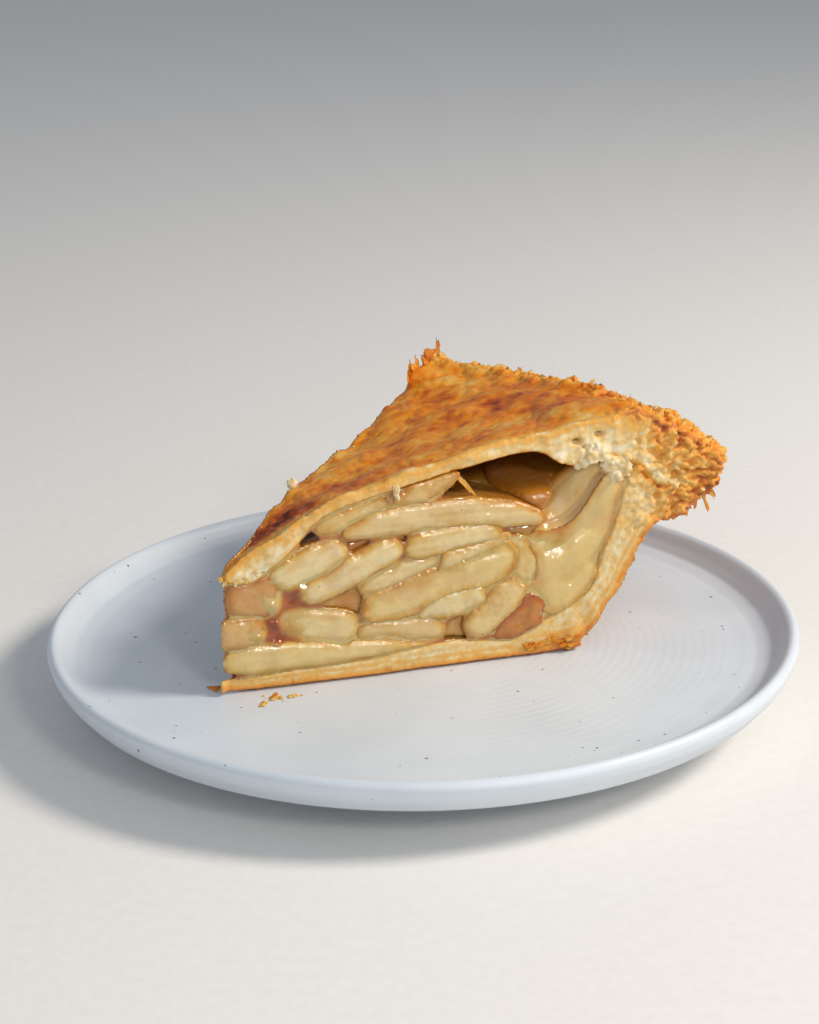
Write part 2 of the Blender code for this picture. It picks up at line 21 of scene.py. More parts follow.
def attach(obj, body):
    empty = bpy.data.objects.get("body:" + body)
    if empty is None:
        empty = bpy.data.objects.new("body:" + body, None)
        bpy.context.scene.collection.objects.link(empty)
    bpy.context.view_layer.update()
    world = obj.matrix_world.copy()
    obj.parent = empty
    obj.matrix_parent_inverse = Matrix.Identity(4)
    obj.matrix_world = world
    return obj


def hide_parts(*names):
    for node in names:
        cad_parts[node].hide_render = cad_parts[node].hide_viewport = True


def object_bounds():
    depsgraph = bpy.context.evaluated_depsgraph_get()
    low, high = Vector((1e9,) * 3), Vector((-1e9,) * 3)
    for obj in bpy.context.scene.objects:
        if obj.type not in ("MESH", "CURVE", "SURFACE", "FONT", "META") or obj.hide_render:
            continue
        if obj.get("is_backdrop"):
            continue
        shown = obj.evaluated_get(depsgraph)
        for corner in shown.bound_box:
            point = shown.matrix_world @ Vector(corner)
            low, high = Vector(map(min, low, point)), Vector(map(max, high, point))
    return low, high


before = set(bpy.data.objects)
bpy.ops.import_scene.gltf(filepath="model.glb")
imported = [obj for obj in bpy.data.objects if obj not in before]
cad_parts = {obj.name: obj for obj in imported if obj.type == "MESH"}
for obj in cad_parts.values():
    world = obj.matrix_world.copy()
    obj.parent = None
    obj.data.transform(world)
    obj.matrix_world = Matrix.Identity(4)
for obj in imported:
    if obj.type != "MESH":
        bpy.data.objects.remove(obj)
cad_low, cad_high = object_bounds()
MM = 0.001
print("CAD box, mm:", [round(side / MM, 1) for side in cad_high - cad_low])

# %% [markdown]
# ## Where the slice stands
# A round pie is easiest to describe from its axis. The slice's tip lies on that axis,
# so a point of the food has a distance r from the tip, a turn from 0 at the near cut
# to 1 at the far cut, a height v above the plate, and a depth behind each cut face.

# %% Slice coordinates
TIP = Vector((-52.4, -36.7, 13.5)) * MM
NEAR_AZIMUTH = math.radians(15.31)
WEDGE_ANGLE = math.radians(45.0)
UP = Vector((0, 0, 1))


def cut_axes(turn):
    """Unit vectors along a cut face from the tip, and into the slice."""
    angle = NEAR_AZIMUTH + turn * WEDGE_ANGLE
    along = Vector((math.cos(angle), math.sin(angle), 0))
    inward = Vector((-math.sin(angle), math.cos(angle), 0)) * (1 - 2 * turn)
    return along, inward


def on_cut(u, v, depth=0.0, turn=0):
    """World point at u along a cut and v above the plate, both in mm, depth mm behind it."""
    along, inward = cut_axes(turn)
    return TIP + (along * u + inward * depth + Vector((0, 0, v))) * MM


def slice_coordinates(points):
    """r, turn, v, near depth and far depth of an array of world points, in metres."""
    from_tip = points - np.array(TIP)
    r = np.hypot(from_tip[:, 0], from_tip[:, 1])
    turn = (np.arctan2(from_tip[:, 1], from_tip[:, 0]) - NEAR_AZIMUTH) / WEDGE_ANGLE
    near, far = (from_tip @ np.array(cut_axes(turn_of_cut)[1]) for turn_of_cut in (0, 1))
    return r, turn, from_tip[:, 2], near, far


for label, turn_of_cut in (("near", 0), ("far", 1)):
    print(label, "cut runs", [round(x, 3) for x in cut_axes(turn_of_cut)[0]])

# %% [markdown]
# ## Fine copies of the food
# A CAD solid of food has a few hundred facets. A voxel remesh gives an even net of
# small squares to model on, as clay gives a sculptor. Smoothing melts the facets, but
# the cut faces have to stay flat, so each point near a cut keeps its depth behind it.

# %% Fine copies
MERGE_DISTANCE = 0.001 * MM
CUT_BAND = 1.6 * MM
TIP_BAND = (2 * MM, 5 * MM)
NOT_FRUIT = ("plate", "bottom_crust", "top_crust", "filling")
SLICE_NAMES = sorted(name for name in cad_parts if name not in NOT_FRUIT)


def merged_copy(node):
    """A bmesh copy of a CAD node with its loose triangles joined."""
    bm = bmesh.new()
    bm.from_mesh(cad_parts[node].data)
    bmesh.ops.remove_doubles(bm, verts=bm.verts, dist=MERGE_DISTANCE)
    return bm


def remeshed(bm, voxel):
    """An even mesh of that voxel size round the closed shapes in bm, which is freed."""
    mesh = bpy.data.meshes.new("coarse")
    bm.to_mesh(mesh)
    bm.free()
    holder = bpy.data.objects.new("coarse", mesh)
    bpy.context.scene.collection.objects.link(holder)
    remesh = holder.modifiers.new("even_net", "REMESH")
    remesh.mode = "VOXEL"
    remesh.voxel_size = voxel
    evaluated = holder.evaluated_get(bpy.context.evaluated_depsgraph_get())
    fine = bpy.data.meshes.new_from_object(evaluated)
    bpy.data.objects.remove(holder)
    bpy.data.meshes.remove(mesh)
    return fine


def points_of(mesh):
    flat = np.empty(len(mesh.vertices) * 3, np.float32)
    mesh.vertices.foreach_get("co", flat)
    return flat.reshape(-1, 3).astype(float)


def normals_of(mesh):
    flat = np.empty(len(mesh.vertices) * 3, np.float32)
    mesh.vertex_normals.foreach_get("vector", flat)
    return flat.reshape(-1, 3).astype(float)


def set_points(mesh, points):
    mesh.vertices.foreach_set("co", points.astype(np.float32).ravel())
    mesh.update()


def blurred(mesh, values, rounds):
    """Values on a mesh's points, each moved halfway to its neighbours' mean, round by round."""
    pairs = np.empty(len(mesh.edges) * 2, np.int32)
    mesh.edges.foreach_get("vertices", pairs)
    a, b = pairs.reshape(-1, 2).T
    size = len(values)
    count = np.bincount(a, minlength=size) + np.bincount(b, minlength=size)
    columns = values.reshape(size, -1).astype(float).copy()
    for _ in range(rounds):
        for k in range(columns.shape[1]):
            column = columns[:, k]
            total = np.bincount(a, column[b], size) + np.bincount(b, column[a], size)
            columns[:, k] = (column + total / count) / 2
    return columns.reshape(values.shape)


def softened(mesh, rounds):
    """Smooths a fine mesh, keeping flat what lies at a cut face past the tip."""
    before = points_of(mesh)
    after = blurred(mesh, before, rounds)
    past_tip = step(slice_coordinates(before)[0], *TIP_BAND)
    for turn, depth in ((0, 3), (1, 4)):
        kept, moved = slice_coordinates(before)[depth], slice_coordinates(after)[depth]
        share = np.clip((CUT_BAND - kept) / CUT_BAND * 2, 0, 1) * past_tip
        after += np.outer((kept - moved) * share, cut_axes(turn)[1])
    set_points(mesh, after)


def step(values, low, high):
    """0 below low, 1 above high, and a smooth rise between."""
    x = np.clip((values - low) / (high - low), 0, 1)
    return x * x * (3 - 2 * x)


def lumps(points, size, seed=0):
    """Smooth noise from about -1 to 1 with lumps of that size, or size along each column."""
    scaled = points / np.array(size) + seed * 17.3
    return np.array([noise.noise(point) for point in scaled.tolist()])


def billows(points, size, seed=0):
    """Round bulges with sharp creases between, from 0 in the creases to about 1."""
    return np.minimum(np.abs(lumps(points, size, seed)) * 2.4, 1.3)


def patch(points, centre, radius):
    """1 at a centre and fading to 0 a few radii away, over the columns given."""
    away = (points - np.array(centre)) / np.array(radius)
    return np.exp(-(away**2).sum(1))


print("food nodes:", len(SLICE_NAMES), "slices of fruit, two crusts and the syrup")

# %% [markdown]
# ## One function for colours and one for nodes
# Colours are written as the sRGB hex that a picture editor shows, and shader sockets
# take linear light, so one function converts them. Another fills the inputs of a node
# or a shader, and a third adds a node with its settings.

# %% Colours and nodes
def colour(code):
    """Linear RGBA of an sRGB hex colour."""
    channels = [int(code[i:i + 2], 16) / 255 for i in (1, 3, 5)]
    return (*[c / 12.92 if c <= 0.04045 else ((c + 0.055) / 1.055) ** 2.4 for c in channels], 1.0)


def set_inputs(tree, node, inputs):
    """Gives each input a value, a hex colour or another node's output socket."""
    for name, value in inputs.items():
        if isinstance(value, bpy.types.NodeSocket):
            tree.links.new(value, node.inputs[name])
        else:
            node.inputs[name].default_value = colour(value) if isinstance(value, str) else value


def add_node(tree, kind, inputs=None, stops=(), **settings):
    """Adds a node with its settings, its inputs and, on a colour ramp, its stops."""
    made = tree.nodes.new("ShaderNode" + kind)
    for name, value in settings.items():
        setattr(made, name, value)
    set_inputs(tree, made, inputs or {})
    for i, (place, code) in enumerate(stops):
        ramp = made.color_ramp.elements
        stop = ramp[i] if i < len(ramp) else ramp.new(place)
        stop.position = place
        stop.color = colour(code)
    return made


def new_material(name):
    """A material with its node tree and its Principled shader."""
    material = bpy.data.materials.new(name)
    material.use_nodes = True
    return material, material.node_tree, material.node_tree.nodes["Principled BSDF"]


MIX_A, MIX_B, MIX_RESULT = 6, 7, 2
print("golden crust in linear light:", [round(c, 3) for c in colour("#c98534")])

# %% [markdown]
# ## Handing over a piece
# Every piece rides on the frame's only body and hides the CAD node that it stands for.

# %% Handing over a piece
def hand_over(name, mesh, material, stands_for=(), marks=None):
    """Makes the object, writes its point marks, and tells the frame about it."""
    mesh.name = name
    mesh.materials.clear()
    mesh.materials.append(material)
    mesh.shade_smooth()
    for mark, values in (marks or {}).items():
        layer = mesh.attributes.new(mark, "FLOAT", "POINT")
        layer.data.foreach_set("value", np.asarray(values, np.float32))
    piece = bpy.data.objects.new(name, mesh)
    bpy.context.scene.collection.objects.link(piece)
    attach(piece, "root")
    if stands_for:
        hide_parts(*stands_for)
    faces = sum(len(face.vertices) - 2 for face in mesh.polygons)
    print(f"{name}: {len(mesh.vertices)} points, {faces} triangles")
    return piece


def mesh_from(bm):
    """A mesh from a bmesh whose faces are turned outwards, and the bmesh is freed."""
    bmesh.ops.remove_doubles(bm, verts=bm.verts, dist=MERGE_DISTANCE)
    bmesh.ops.recalc_face_normals(bm, faces=bm.faces)
    mesh = bpy.data.meshes.new("piece")
    bm.to_mesh(mesh)
    bm.free()
    return mesh


# %% [markdown]
# ## The plate
# A thrown stoneware plate is a solid of revolution, so its profile is spun round the
# axis. The potter's fingers leave shallow rings on the floor, about 2.6 mm apart, and
# no ring is perfect, so after the spin each point moves up or down a few hundredths
# of a millimetre.

# %% Plate profile and spin
PLATE_PROFILE = (
    (0.0, 13.2), (84.0, 13.2), (89.0, 13.5), (93.0, 14.6), (95.2, 16.8), (96.4, 18.6),
    (97.1, 19.4), (98.0, 19.9), (98.6, 19.92), (99.3, 19.5), (99.8, 18.8), (99.95, 18.0),
    (99.4, 15.8), (98.6, 14.4), (96.0, 11.2), (91.5, 9.7), (86.0, 8.8), (64.6, 5.9),
    (62.6, 4.2), (62.0, 0.8), (61.4, 0.0), (58.6, 0.0), (58.0, 0.8), (57.0, 7.1),
    (54.0, 7.8), (0.0, 7.8),
)
PROFILE_STEP = 0.65
PLATE_STEPS = 180
RING_SPACING = 2.6
RING_HEIGHT = 0.040
RING_WANDER = 0.35
FLOOR_ABOVE = 12 * MM
RINGS_START = (6, 14)
RINGS_END = (86, 91)

bm = bmesh.new()
points = []
for (r0, z0), (r1, z1) in zip(PLATE_PROFILE, PLATE_PROFILE[1:]):
    pieces = max(1, round(math.hypot(r1 - r0, z1 - z0) / PROFILE_STEP))
    points += [(r0 + (r1 - r0) * k / pieces, z0 + (z1 - z0) * k / pieces) for k in range(pieces)]
points.append(PLATE_PROFILE[-1])
line = [bm.verts.new(Vector((r, 0, z)) * MM) for r, z in points]
edges = [bm.edges.new(pair) for pair in zip(line, line[1:])]
bmesh.ops.spin(
    bm, geom=[*line, *edges], cent=(0, 0, 0), axis=(0, 0, 1), dvec=(0, 0, 0),
    angle=math.tau, steps=PLATE_STEPS, use_merge=True, use_duplicate=False,
)
plate_mesh = mesh_from(bm)
spun = points_of(plate_mesh)
radius = np.hypot(spun[:, 0], spun[:, 1]) / MM
rings = np.sin(math.tau * (radius / RING_SPACING + RING_WANDER * lumps(spun, 30 * MM, 3)))
strength = 0.45 + 0.55 * lumps(spun, 55 * MM, 5)
on_floor = (spun[:, 2] > FLOOR_ABOVE) * step(radius, *RINGS_START) * (1 - step(radius, *RINGS_END))
spun[:, 2] += RING_HEIGHT * MM * rings * np.clip(strength, 0.05, 1) * on_floor
set_points(plate_mesh, spun)

# %% [markdown]
# ## Speckled stoneware glaze
# A satin white glaze over iron-bearing clay: it scatters light softly (roughness about
# 0.4), and the iron comes through as grey specks of 0.3 to 1 mm, scattered where the
# grains happened to lie. A 3D Voronoi pattern has one point in each cell, so a small
# ball round some of the points cuts the surface in a speck. The foot is left bare.

# %% Glaze material
SPECK_CELL = 3.4 * MM
FINE_SPECK_CELL = 2.1 * MM
FOOT_TOP = 0.9 * MM
GLAZE_CLOUD = 35 * MM
GLAZE_SKIN = 1.6 * MM


def specks(tree, place, cell, rarity, size, strength):
    """How far a point takes a speck's colour: balls round the rarer points of a 3D Voronoi."""
    grains = add_node(tree, "TexVoronoi", {"Vector": place, "Scale": 1 / cell})
    chance = add_node(tree, "SeparateColor", {"Color": grains.outputs["Color"]}).outputs["Red"]
    reach = add_node(
        tree, "MapRange", {"Value": chance, "From Min": rarity, "From Max": 1.0, "To Max": size}
    ).outputs["Result"]
    inside = add_node(
        tree, "Math", {0: reach, 1: grains.outputs["Distance"]}, operation="SUBTRACT"
    ).outputs["Value"]
    return add_node(
        tree, "MapRange", {"Value": inside, "From Max": 0.05, "To Max": strength}
    ).outputs["Result"]


glaze, tree, shader = new_material("speckled_stoneware_glaze")
place = add_node(tree, "TexCoord").outputs["Object"]
cloud = add_node(tree, "TexNoise", {"Vector": place, "Scale": 1 / GLAZE_CLOUD, "Detail": 3.0})
glaze_tone = add_node(
    tree, "ValToRGB", {"Fac": cloud.outputs["Fac"]}, stops=((0.3, "#ccd5de"), (0.7, "#d9e1e9"))
)
tone = glaze_tone.outputs["Color"]
for speck in (
    specks(tree, place, SPECK_CELL, 0.80, 0.17, 0.9),
    specks(tree, place, FINE_SPECK_CELL, 0.86, 0.15, 0.9),
):
    tone = add_node(
        tree, "Mix", {0: speck, MIX_A: tone, MIX_B: "#565b63"}, data_type="RGBA"
    ).outputs[MIX_RESULT]
height = add_node(tree, "SeparateXYZ", {"Vector": place}).outputs["Z"]
bare = add_node(
    tree, "MapRange", {"Value": height, "From Min": FOOT_TOP, "From Max": 0.6 * FOOT_TOP}
).outputs["Result"]
tone = add_node(tree, "Mix", {0: bare, MIX_A: tone, MIX_B: "#b9a58c"}, data_type="RGBA")
satin = add_node(
    tree, "MapRange", {"Value": cloud.outputs["Fac"], "To Min": 0.34, "To Max": 0.46}
).outputs["Result"]
gloss = add_node(tree, "Mix", {0: bare, 2: satin, 3: 0.85}).outputs[0]
skin = add_node(tree, "TexNoise", {"Vector": place, "Scale": 1 / GLAZE_SKIN, "Detail": 4.0})
bump = add_node(
    tree, "Bump", {"Height": skin.outputs["Fac"], "Strength": 0.12, "Distance": 0.05 * MM}
)
set_inputs(tree, shader, {
    "Base Color": tone.outputs[MIX_RESULT], "Roughness": gloss, "IOR": 1.5,
    "Normal": bump.outputs["Normal"],
})
hand_over("thrown_plate", plate_mesh, glaze, ["plate"])

# %% [markdown]
# ## Baked pastry
# Short pastry browns from the outside: cream where a knife has opened it, gold where
# it is thin or shaded, red-brown on the high folds and in the creases where the egg
# wash ran. The toast mark says how far each point has baked, and in the rim's crevices
# and on the underside of the top crust it also holds painted shade. The mark "cut" says
# where the crumb shows. The egg wash dries to a soft gloss, and crumb has none.

# %% Pastry material
PASTRY_COLOURS = (
    (0.00, "#f0e6cc"), (0.08, "#e4cc98"), (0.18, "#deb060"), (0.30, "#e2a23c"),
    (0.42, "#df8f20"), (0.56, "#d47605"), (0.72, "#b85602"), (0.88, "#8a3402"),
    (1.00, "#461701"),
)
MOTTLE_SIZE = 2.2 * MM
BLISTER_SIZE = 0.9 * MM
CRUMB_SIZE = 1.3 * MM
CRUMB_SHARE = 0.15
CRUMB_ROUGHNESS = 0.78
GLOSS_SPREAD = 0.22


def pastry(name, wash_gloss):
    """Baked pastry whose toasted skin has that roughness where the wash lies."""
    material, tree, shader = new_material(name)
    place = add_node(tree, "TexCoord").outputs["Object"]
    toast_and_shade = add_node(tree, "Attribute", attribute_name="toast_and_shade").outputs["Fac"]
    cut = add_node(tree, "Attribute", attribute_name="cut").outputs["Fac"]
    mottle = add_node(
        tree, "TexNoise",
        {"Vector": place, "Scale": 1 / MOTTLE_SIZE, "Detail": 6.0, "Roughness": 0.65},
    )
    shift = add_node(
        tree, "MapRange", {"Value": mottle.outputs["Fac"], "From Min": 0.3, "From Max": 0.7,
                           "To Min": -0.10, "To Max": 0.10}
    )
    # The toast mark, which holds baking and in places painted shade, plus mottling.
    baked_and_shade = add_node(tree, "Math", {0: toast_and_shade, 1: shift.outputs["Result"]}, operation="ADD")
    skin = add_node(tree, "ValToRGB", {"Fac": baked_and_shade.outputs["Value"]}, stops=PASTRY_COLOURS)
    grains = add_node(
        tree, "TexVoronoi", {"Vector": place, "Scale": 1 / CRUMB_SIZE, "Randomness": 1.0}
    )
    pores = add_node(
        tree, "ValToRGB", {"Fac": grains.outputs["Distance"]},
        stops=((0.10, "#f0dfb6"), (0.80, "#dcb878")),
    )
    share = add_node(tree, "Math", {0: cut, 1: CRUMB_SHARE}, operation="MULTIPLY")
    tone = add_node(
        tree, "Mix",
        {0: share.outputs["Value"], MIX_A: skin.outputs["Color"], MIX_B: pores.outputs["Color"]},
        data_type="RGBA",
    )
    gloss = add_node(
        tree, "MapRange", {"Value": mottle.outputs["Fac"], "From Min": 0.35, "From Max": 0.65,
                           "To Min": wash_gloss, "To Max": wash_gloss + GLOSS_SPREAD}
    )
    rough = add_node(tree, "Mix", {0: cut, 2: gloss.outputs["Result"], 3: CRUMB_ROUGHNESS})
    relief = add_node(
        tree, "TexNoise",
        {"Vector": place, "Scale": 1 / BLISTER_SIZE, "Detail": 5.0, "Roughness": 0.6},
    )
    bump = add_node(
        tree, "Bump", {"Height": relief.outputs["Fac"], "Strength": 0.55, "Distance": 0.25 * MM}
    )
    set_inputs(tree, shader, {
        "Base Color": tone.outputs[MIX_RESULT], "Roughness": rough.outputs[0],
        "Normal": bump.outputs["Normal"], "Specular IOR Level": 0.35, "Subsurface Weight": 0.12,
        "Subsurface Radius": (1.0, 0.5, 0.2), "Subsurface Scale": 1.5 * MM,
    })
    return material


top_pastry = pastry("egg_washed_pastry", 0.30)
bottom_pastry = pastry("tin_baked_pastry", 0.45)

# %% [markdown]
# ## Marks shared by both crusts
# A point belongs to a cut face if it lies at the cut plane and faces out of it. The
# rim is where the two crusts are pressed together into crags, and the seam runs along
# under it. In the sums of noise below, each factor is a height in mm.

# %% Crust marks
RIM = (107 * MM, 117 * MM)
SEAM = (103 * MM, 106 * MM)
TORN = (105 * MM, 125 * MM)
GOLDEN = (112 * MM, 126 * MM)
LEAF_THICKNESS = 0.36 * MM


def facing_cut(points, normals):
    """How far each point belongs to a cut face, 0 to 1."""
    depths = slice_coordinates(points)[3:]
    share = np.zeros(len(points))
    for turn, depth in zip((0, 1), depths):
        outward = -np.array(cut_axes(turn)[1])
        at_cut = 1 - step(depth, 1.2 * MM, 2.4 * MM)
        share = np.maximum(share, step(normals @ outward, 0.45, 0.8) * at_cut)
    return share


def distance_to(points, chosen, limit=8 * MM):
    """Distance of every point to the nearest chosen one."""
    tree = KDTree(int(chosen.sum()))
    for i in np.flatnonzero(chosen).tolist():
        tree.insert(points[i], i)
    tree.balance()
    return np.array([min(tree.find(point)[2], limit) for point in points.tolist()])


def unrolled(points):
    """The crust laid flat: r, arc and height, so that folds can run from tip to rim."""
    r, turn, v, _, _ = slice_coordinates(points)
    return np.stack([r, r * turn * WEDGE_ANGLE, v], 1)


def rim_crags(points, flat, seed):
    """Relief of the torn rim in mm, and how deep each point lies in the crevices and holes, 0 to 1,
    which the colour marks paint darker as shade.
    """
    bent = np.column_stack([lumps(points, 5 * MM, seed + k) for k in (5, 6, 7)]) * 2.2 * MM
    big = billows(flat + bent, (4.4 * MM, 3.4 * MM, 1.9 * MM), seed)
    middle = billows(points + bent, (2.4 * MM, 2.4 * MM, 1.0 * MM), seed + 1)
    small = lumps(points, 0.9 * MM, seed + 2)
    hole = step(lumps(points + bent, (3.2 * MM, 3.2 * MM, 2 * MM), seed + 3), 0.18, 0.42)
    relief = 0.8 * (big - 0.5) + 0.9 * (middle - 0.4) + 0.45 * small - 1.3 * hole
    crevice_shade = 0.4 * np.clip(1 - 2.2 * big, 0, 1) + 0.6 * hole
    crevice_shade += 0.4 * np.clip(1 - 2.4 * middle, 0, 1)
    return relief, np.clip(crevice_shade, 0, 1)


def crumb_relief(flat, below_skin, seed):
    """Relief of a knife-cut crumb in mm: thin leaves that follow the skin, grains and pores."""
    layers = np.sin(below_skin / LEAF_THICKNESS + 3.5 * lumps(flat, 5 * MM, seed)) * 0.5
    layers += 0.5 * lumps(flat + below_skin[:, None], (4 * MM, 4 * MM, 0.9 * MM), seed + 1)
    pores = step(lumps(flat, 1.5 * MM, seed + 2), 0.36, 0.60)
    return 0.16 * layers + 0.14 * lumps(flat, 1.0 * MM, seed + 3) - 0.30 * pores, layers


# %% [markdown]
# ## The top crust
# A sheet of pastry, draped over the fruit, that rose, wrinkled and was washed with
# egg. Folds, creases and blisters are round bulges of three sizes with sharp valleys
# between, laid out on the unrolled sheet. The knife left the two cut faces layered and
# crumbly, and the rim is torn and holed. Rows of HOLLOWS are holes in the near cut: u,
# height, half width and depth in mm.

# %% Top crust
TOP_VOXEL = 0.52 * MM
SEAM_OVERLAP = 1.0
SEAM_END = 133 * MM
OPEN_ROUNDS = 160
HOLLOWS = ((96.4, 57.6, 1.1, 4.6), (102.6, 59.0, 1.2, 4.0), (98.6, 56.0, 0.8, 2.6))

crust = remeshed(merged_copy("top_crust"), TOP_VOXEL)
softened(crust, 12)
points, normals = points_of(crust), normals_of(crust)
r, _, v, near, far = slice_coordinates(points)
open_skin = step(normals[:, 2], 0.2, 0.5) * step(r, 4 * MM, 12 * MM)
open_skin *= 1 - step(r, 102 * MM, 110 * MM)
open_skin *= step(near, 1.5 * MM, 5 * MM) * step(far, 1.5 * MM, 5 * MM)
points[:, 2] += open_skin * (blurred(crust, points[:, 2], OPEN_ROUNDS) - points[:, 2])
set_points(crust, points)
normals = normals_of(crust)
flat = unrolled(points)
cut = blurred(crust, facing_cut(points, normals), 2)
downward = step(-normals[:, 2], 0.05, 0.5) * (1 - cut)
seam = downward * step(r, *SEAM) * step(SEAM_END - r, 0, 3 * MM)
under = downward * (1 - step(r, *SEAM))
rim = step(r, *RIM)
skin = (1 - cut) * (1 - under) * (1 - seam)
baked_side = distance_to(points, skin > 0.7)

wander = np.stack([2 * MM * lumps(flat, 9 * MM, 19), 3 * MM * lumps(flat, 12 * MM, 17), 0 * r], 1)
folds = billows(flat + wander, (12 * MM, 11 * MM, 12 * MM), 1)
creases = billows(flat + wander, (6 * MM, 7 * MM, 5 * MM), 2)
swells = lumps(flat, (10 * MM, 11 * MM, 12 * MM), 18)
blisters = billows(points, 3.3 * MM, 20)
patchy = 0.5 + 0.5 * np.clip(2.2 * lumps(flat, 15 * MM, 14), -1, 1)
tip_blisters = patch(flat / MM, (20, 11, 38), (10, 6, 30))
crags, crevice_shade = rim_crags(points, flat, 4)
crumb, layers = crumb_relief(flat, baked_side, 8)
calm = step(r, 4 * MM, 14 * MM)
relief = skin * (
    calm * (1 - rim) * (0.40 * (folds - 0.5) + 0.22 * patchy * (creases - 0.5) + 0.40 * swells)
    + (1 - rim) * (0.30 * (1 - 0.6 * patchy) * (blisters - 0.5) + 0.09 * lumps(points, 1.2 * MM, 3))
    + 0.40 * tip_blisters * (billows(points, 1.9 * MM, 7) - 0.4)
    + rim * crags
)
torn = step(r, *TORN)
relief += cut * (0.5 * crumb + 0.2 * lumps(points, 2.6 * MM, 21) + torn * 0.9 * crags)
relief += under * 0.25 * lumps(points, 3 * MM, 11) + SEAM_OVERLAP * seam
for u, height, size, depth in HOLLOWS:
    hollow = patch(points, on_cut(u, height), np.array((size, size, 0.6 * size)) * MM)
    relief -= depth * cut * hollow
set_points(crust, points + normals * (relief * MM)[:, None])

# %% [markdown]
# The toast map of the top: gold in general, paler along the near cut where the fruit
# kept it soft, dark and blistered on the left near the tip, red-brown in the creases.
# The rim is painted darker in its crevices and holes as painted shade, and the
# underside is painted dark brown, partly for syrup soaked into it and partly as
# painted shade of the hollow under the crust.

# %% Top crust colour marks
broad = lumps(flat, (12 * MM, 16 * MM, 20 * MM), 12)
spots = lumps(flat + wander, (4.2 * MM, 5.5 * MM, 6 * MM), 13)
streaks = 1 - step(creases, 0.0, 0.40)
toast_and_shade = 0.50 + 0.24 * broad + 0.18 * spots + 0.14 * streaks * patchy - 0.10 * (folds - 0.4)
toast_and_shade += 0.10 * (blisters - 0.5) + 0.36 * tip_blisters
toast_and_shade -= 0.08 * patch(flat / MM, (88, 22, 60), (14, 10, 40))
toast_and_shade -= 0.16 * patch(flat / MM, (50, 34, 50), (14, 8, 40))
band = (3.5 + 6 * lumps(flat, 9 * MM, 15)) * MM
toast_and_shade -= 0.24 * (1 - step(near, 0, 4 * MM + np.maximum(band, 0))) * calm
toast_and_shade -= 0.14 * (1 - step(near, 0, 2.5 * MM)) * calm + 0.12 * (1 - calm)
clods = lumps(points, 4 * MM, 16)
# Painted shade: the rim is painted darker in its crevices and holes.
toast_and_shade = toast_and_shade * (1 - rim) + rim * (0.28 + 0.58 * crevice_shade + 0.14 * broad + 0.10 * clods)
toast_and_shade += 0.40 * patch(flat / MM, (118, 26, 52), (4, 8, 20))
crumb_tone = 0.08 + 0.34 * np.exp(-baked_side / (1.5 * MM)) + 0.05 * layers
crumb_tone += 0.08 * lumps(points, 3 * MM, 22)
golden = step(r + 0.9 * (v - 52 * MM), *GOLDEN)
# Painted shade: the inner rim's crumb is painted darker in its crevices and holes.
inner_rim = golden * (0.15 + 0.52 * crevice_shade + 0.12 * clods)
# Painted shade: the underside of the top crust is painted dark brown (0.95), partly for syrup
# soaked into it and partly as shade of the hollow under the crust.
toast_and_shade = toast_and_shade * skin + cut * (crumb_tone + inner_rim) + under * 0.95 + seam * 0.3
crust_meshes = [crust]
hand_over(
    "top_crust_baked", crust, top_pastry, ["top_crust"],
    {"toast_and_shade": np.clip(toast_and_shade, 0, 1), "cut": cut},
)

# %% [markdown]
# ## The bottom crust
# It baked against the tin: flat and golden below, pale and translucent where the
# syrup soaked in from above, and craggy outside where it meets the rim. A darker,
# flaky corner shows where floor and wall meet.

# %% Bottom crust
BOTTOM_VOXEL = 0.56 * MM
TIP_REACH = 1.1 * MM
TIP_CENTRE = 1.5 * MM
TIP_RADIUS = 0.8 * MM
SOAKED_TOAST = 0.24


def blunted(bm):
    """Rounds the last millimetre of the tip, which is thinner there than the net's squares."""
    bisector = NEAR_AZIMUTH + WEDGE_ANGLE / 2
    for vert in bm.verts:
        r, turn, _, _, _ = slice_coordinates(np.array([vert.co]))
        if r[0] < TIP_REACH:
            angle = bisector - math.pi * (0.5 + float(np.clip(turn[0], 0, 1)))
            vert.co.x = TIP.x + TIP_CENTRE * math.cos(bisector) + TIP_RADIUS * math.cos(angle)
            vert.co.y = TIP.y + TIP_CENTRE * math.sin(bisector) + TIP_RADIUS * math.sin(angle)
    return bm


crust = remeshed(blunted(merged_copy("bottom_crust")), BOTTOM_VOXEL)
softened(crust, 10)
points, normals = points_of(crust), normals_of(crust)
r, _, v, _, _ = slice_coordinates(points)
flat = unrolled(points)
radial = ((points - np.array(TIP)) * normals)[:, :2].sum(1) / np.maximum(r, MM)
cut = blurred(crust, facing_cut(points, normals), 2)
from_below = step(-normals[:, 2], 0.2, 0.5)
outside = (1 - cut) * np.maximum(from_below, step(radial, 0.1, 0.4) * step(r, 85 * MM, 92 * MM))
rim = step(r, *RIM) * step(v, 30 * MM, 36 * MM)
seam = step(normals[:, 2], 0.1, 0.5) * (1 - cut) * step(r, *SEAM)
lifted = step(v, 0.4 * MM, 1.6 * MM)
baked_side = distance_to(points, outside > 0.7)
crags, crevice_shade = rim_crags(points, flat, 4)
wall_bumps = billows(flat, (3.4 * MM, 3.4 * MM, 2.2 * MM), 21)
crumb, layers = crumb_relief(flat, baked_side, 24)
wall = 0.9 * (wall_bumps - 0.5) + 0.4 * (billows(points, 1.4 * MM, 22) - 0.4)
relief = outside * (lifted * (1 - rim) * wall + rim * crags)
flaky = step(baked_side, 2.4 * MM, 0.8 * MM)
torn = step(r, 103 * MM, 124 * MM) * step(v, 26 * MM, 38 * MM)
relief += cut * (crumb * (0.2 + 0.9 * flaky) + torn * 0.9 * crags)
relief += (1 - outside) * (1 - cut) * 0.2 * lumps(points, 4 * MM, 27) + 0.7 * seam
moved = points + normals * (relief * MM)[:, None]
moved[:, 2] = np.maximum(moved[:, 2], TIP.z)
set_points(crust, moved)

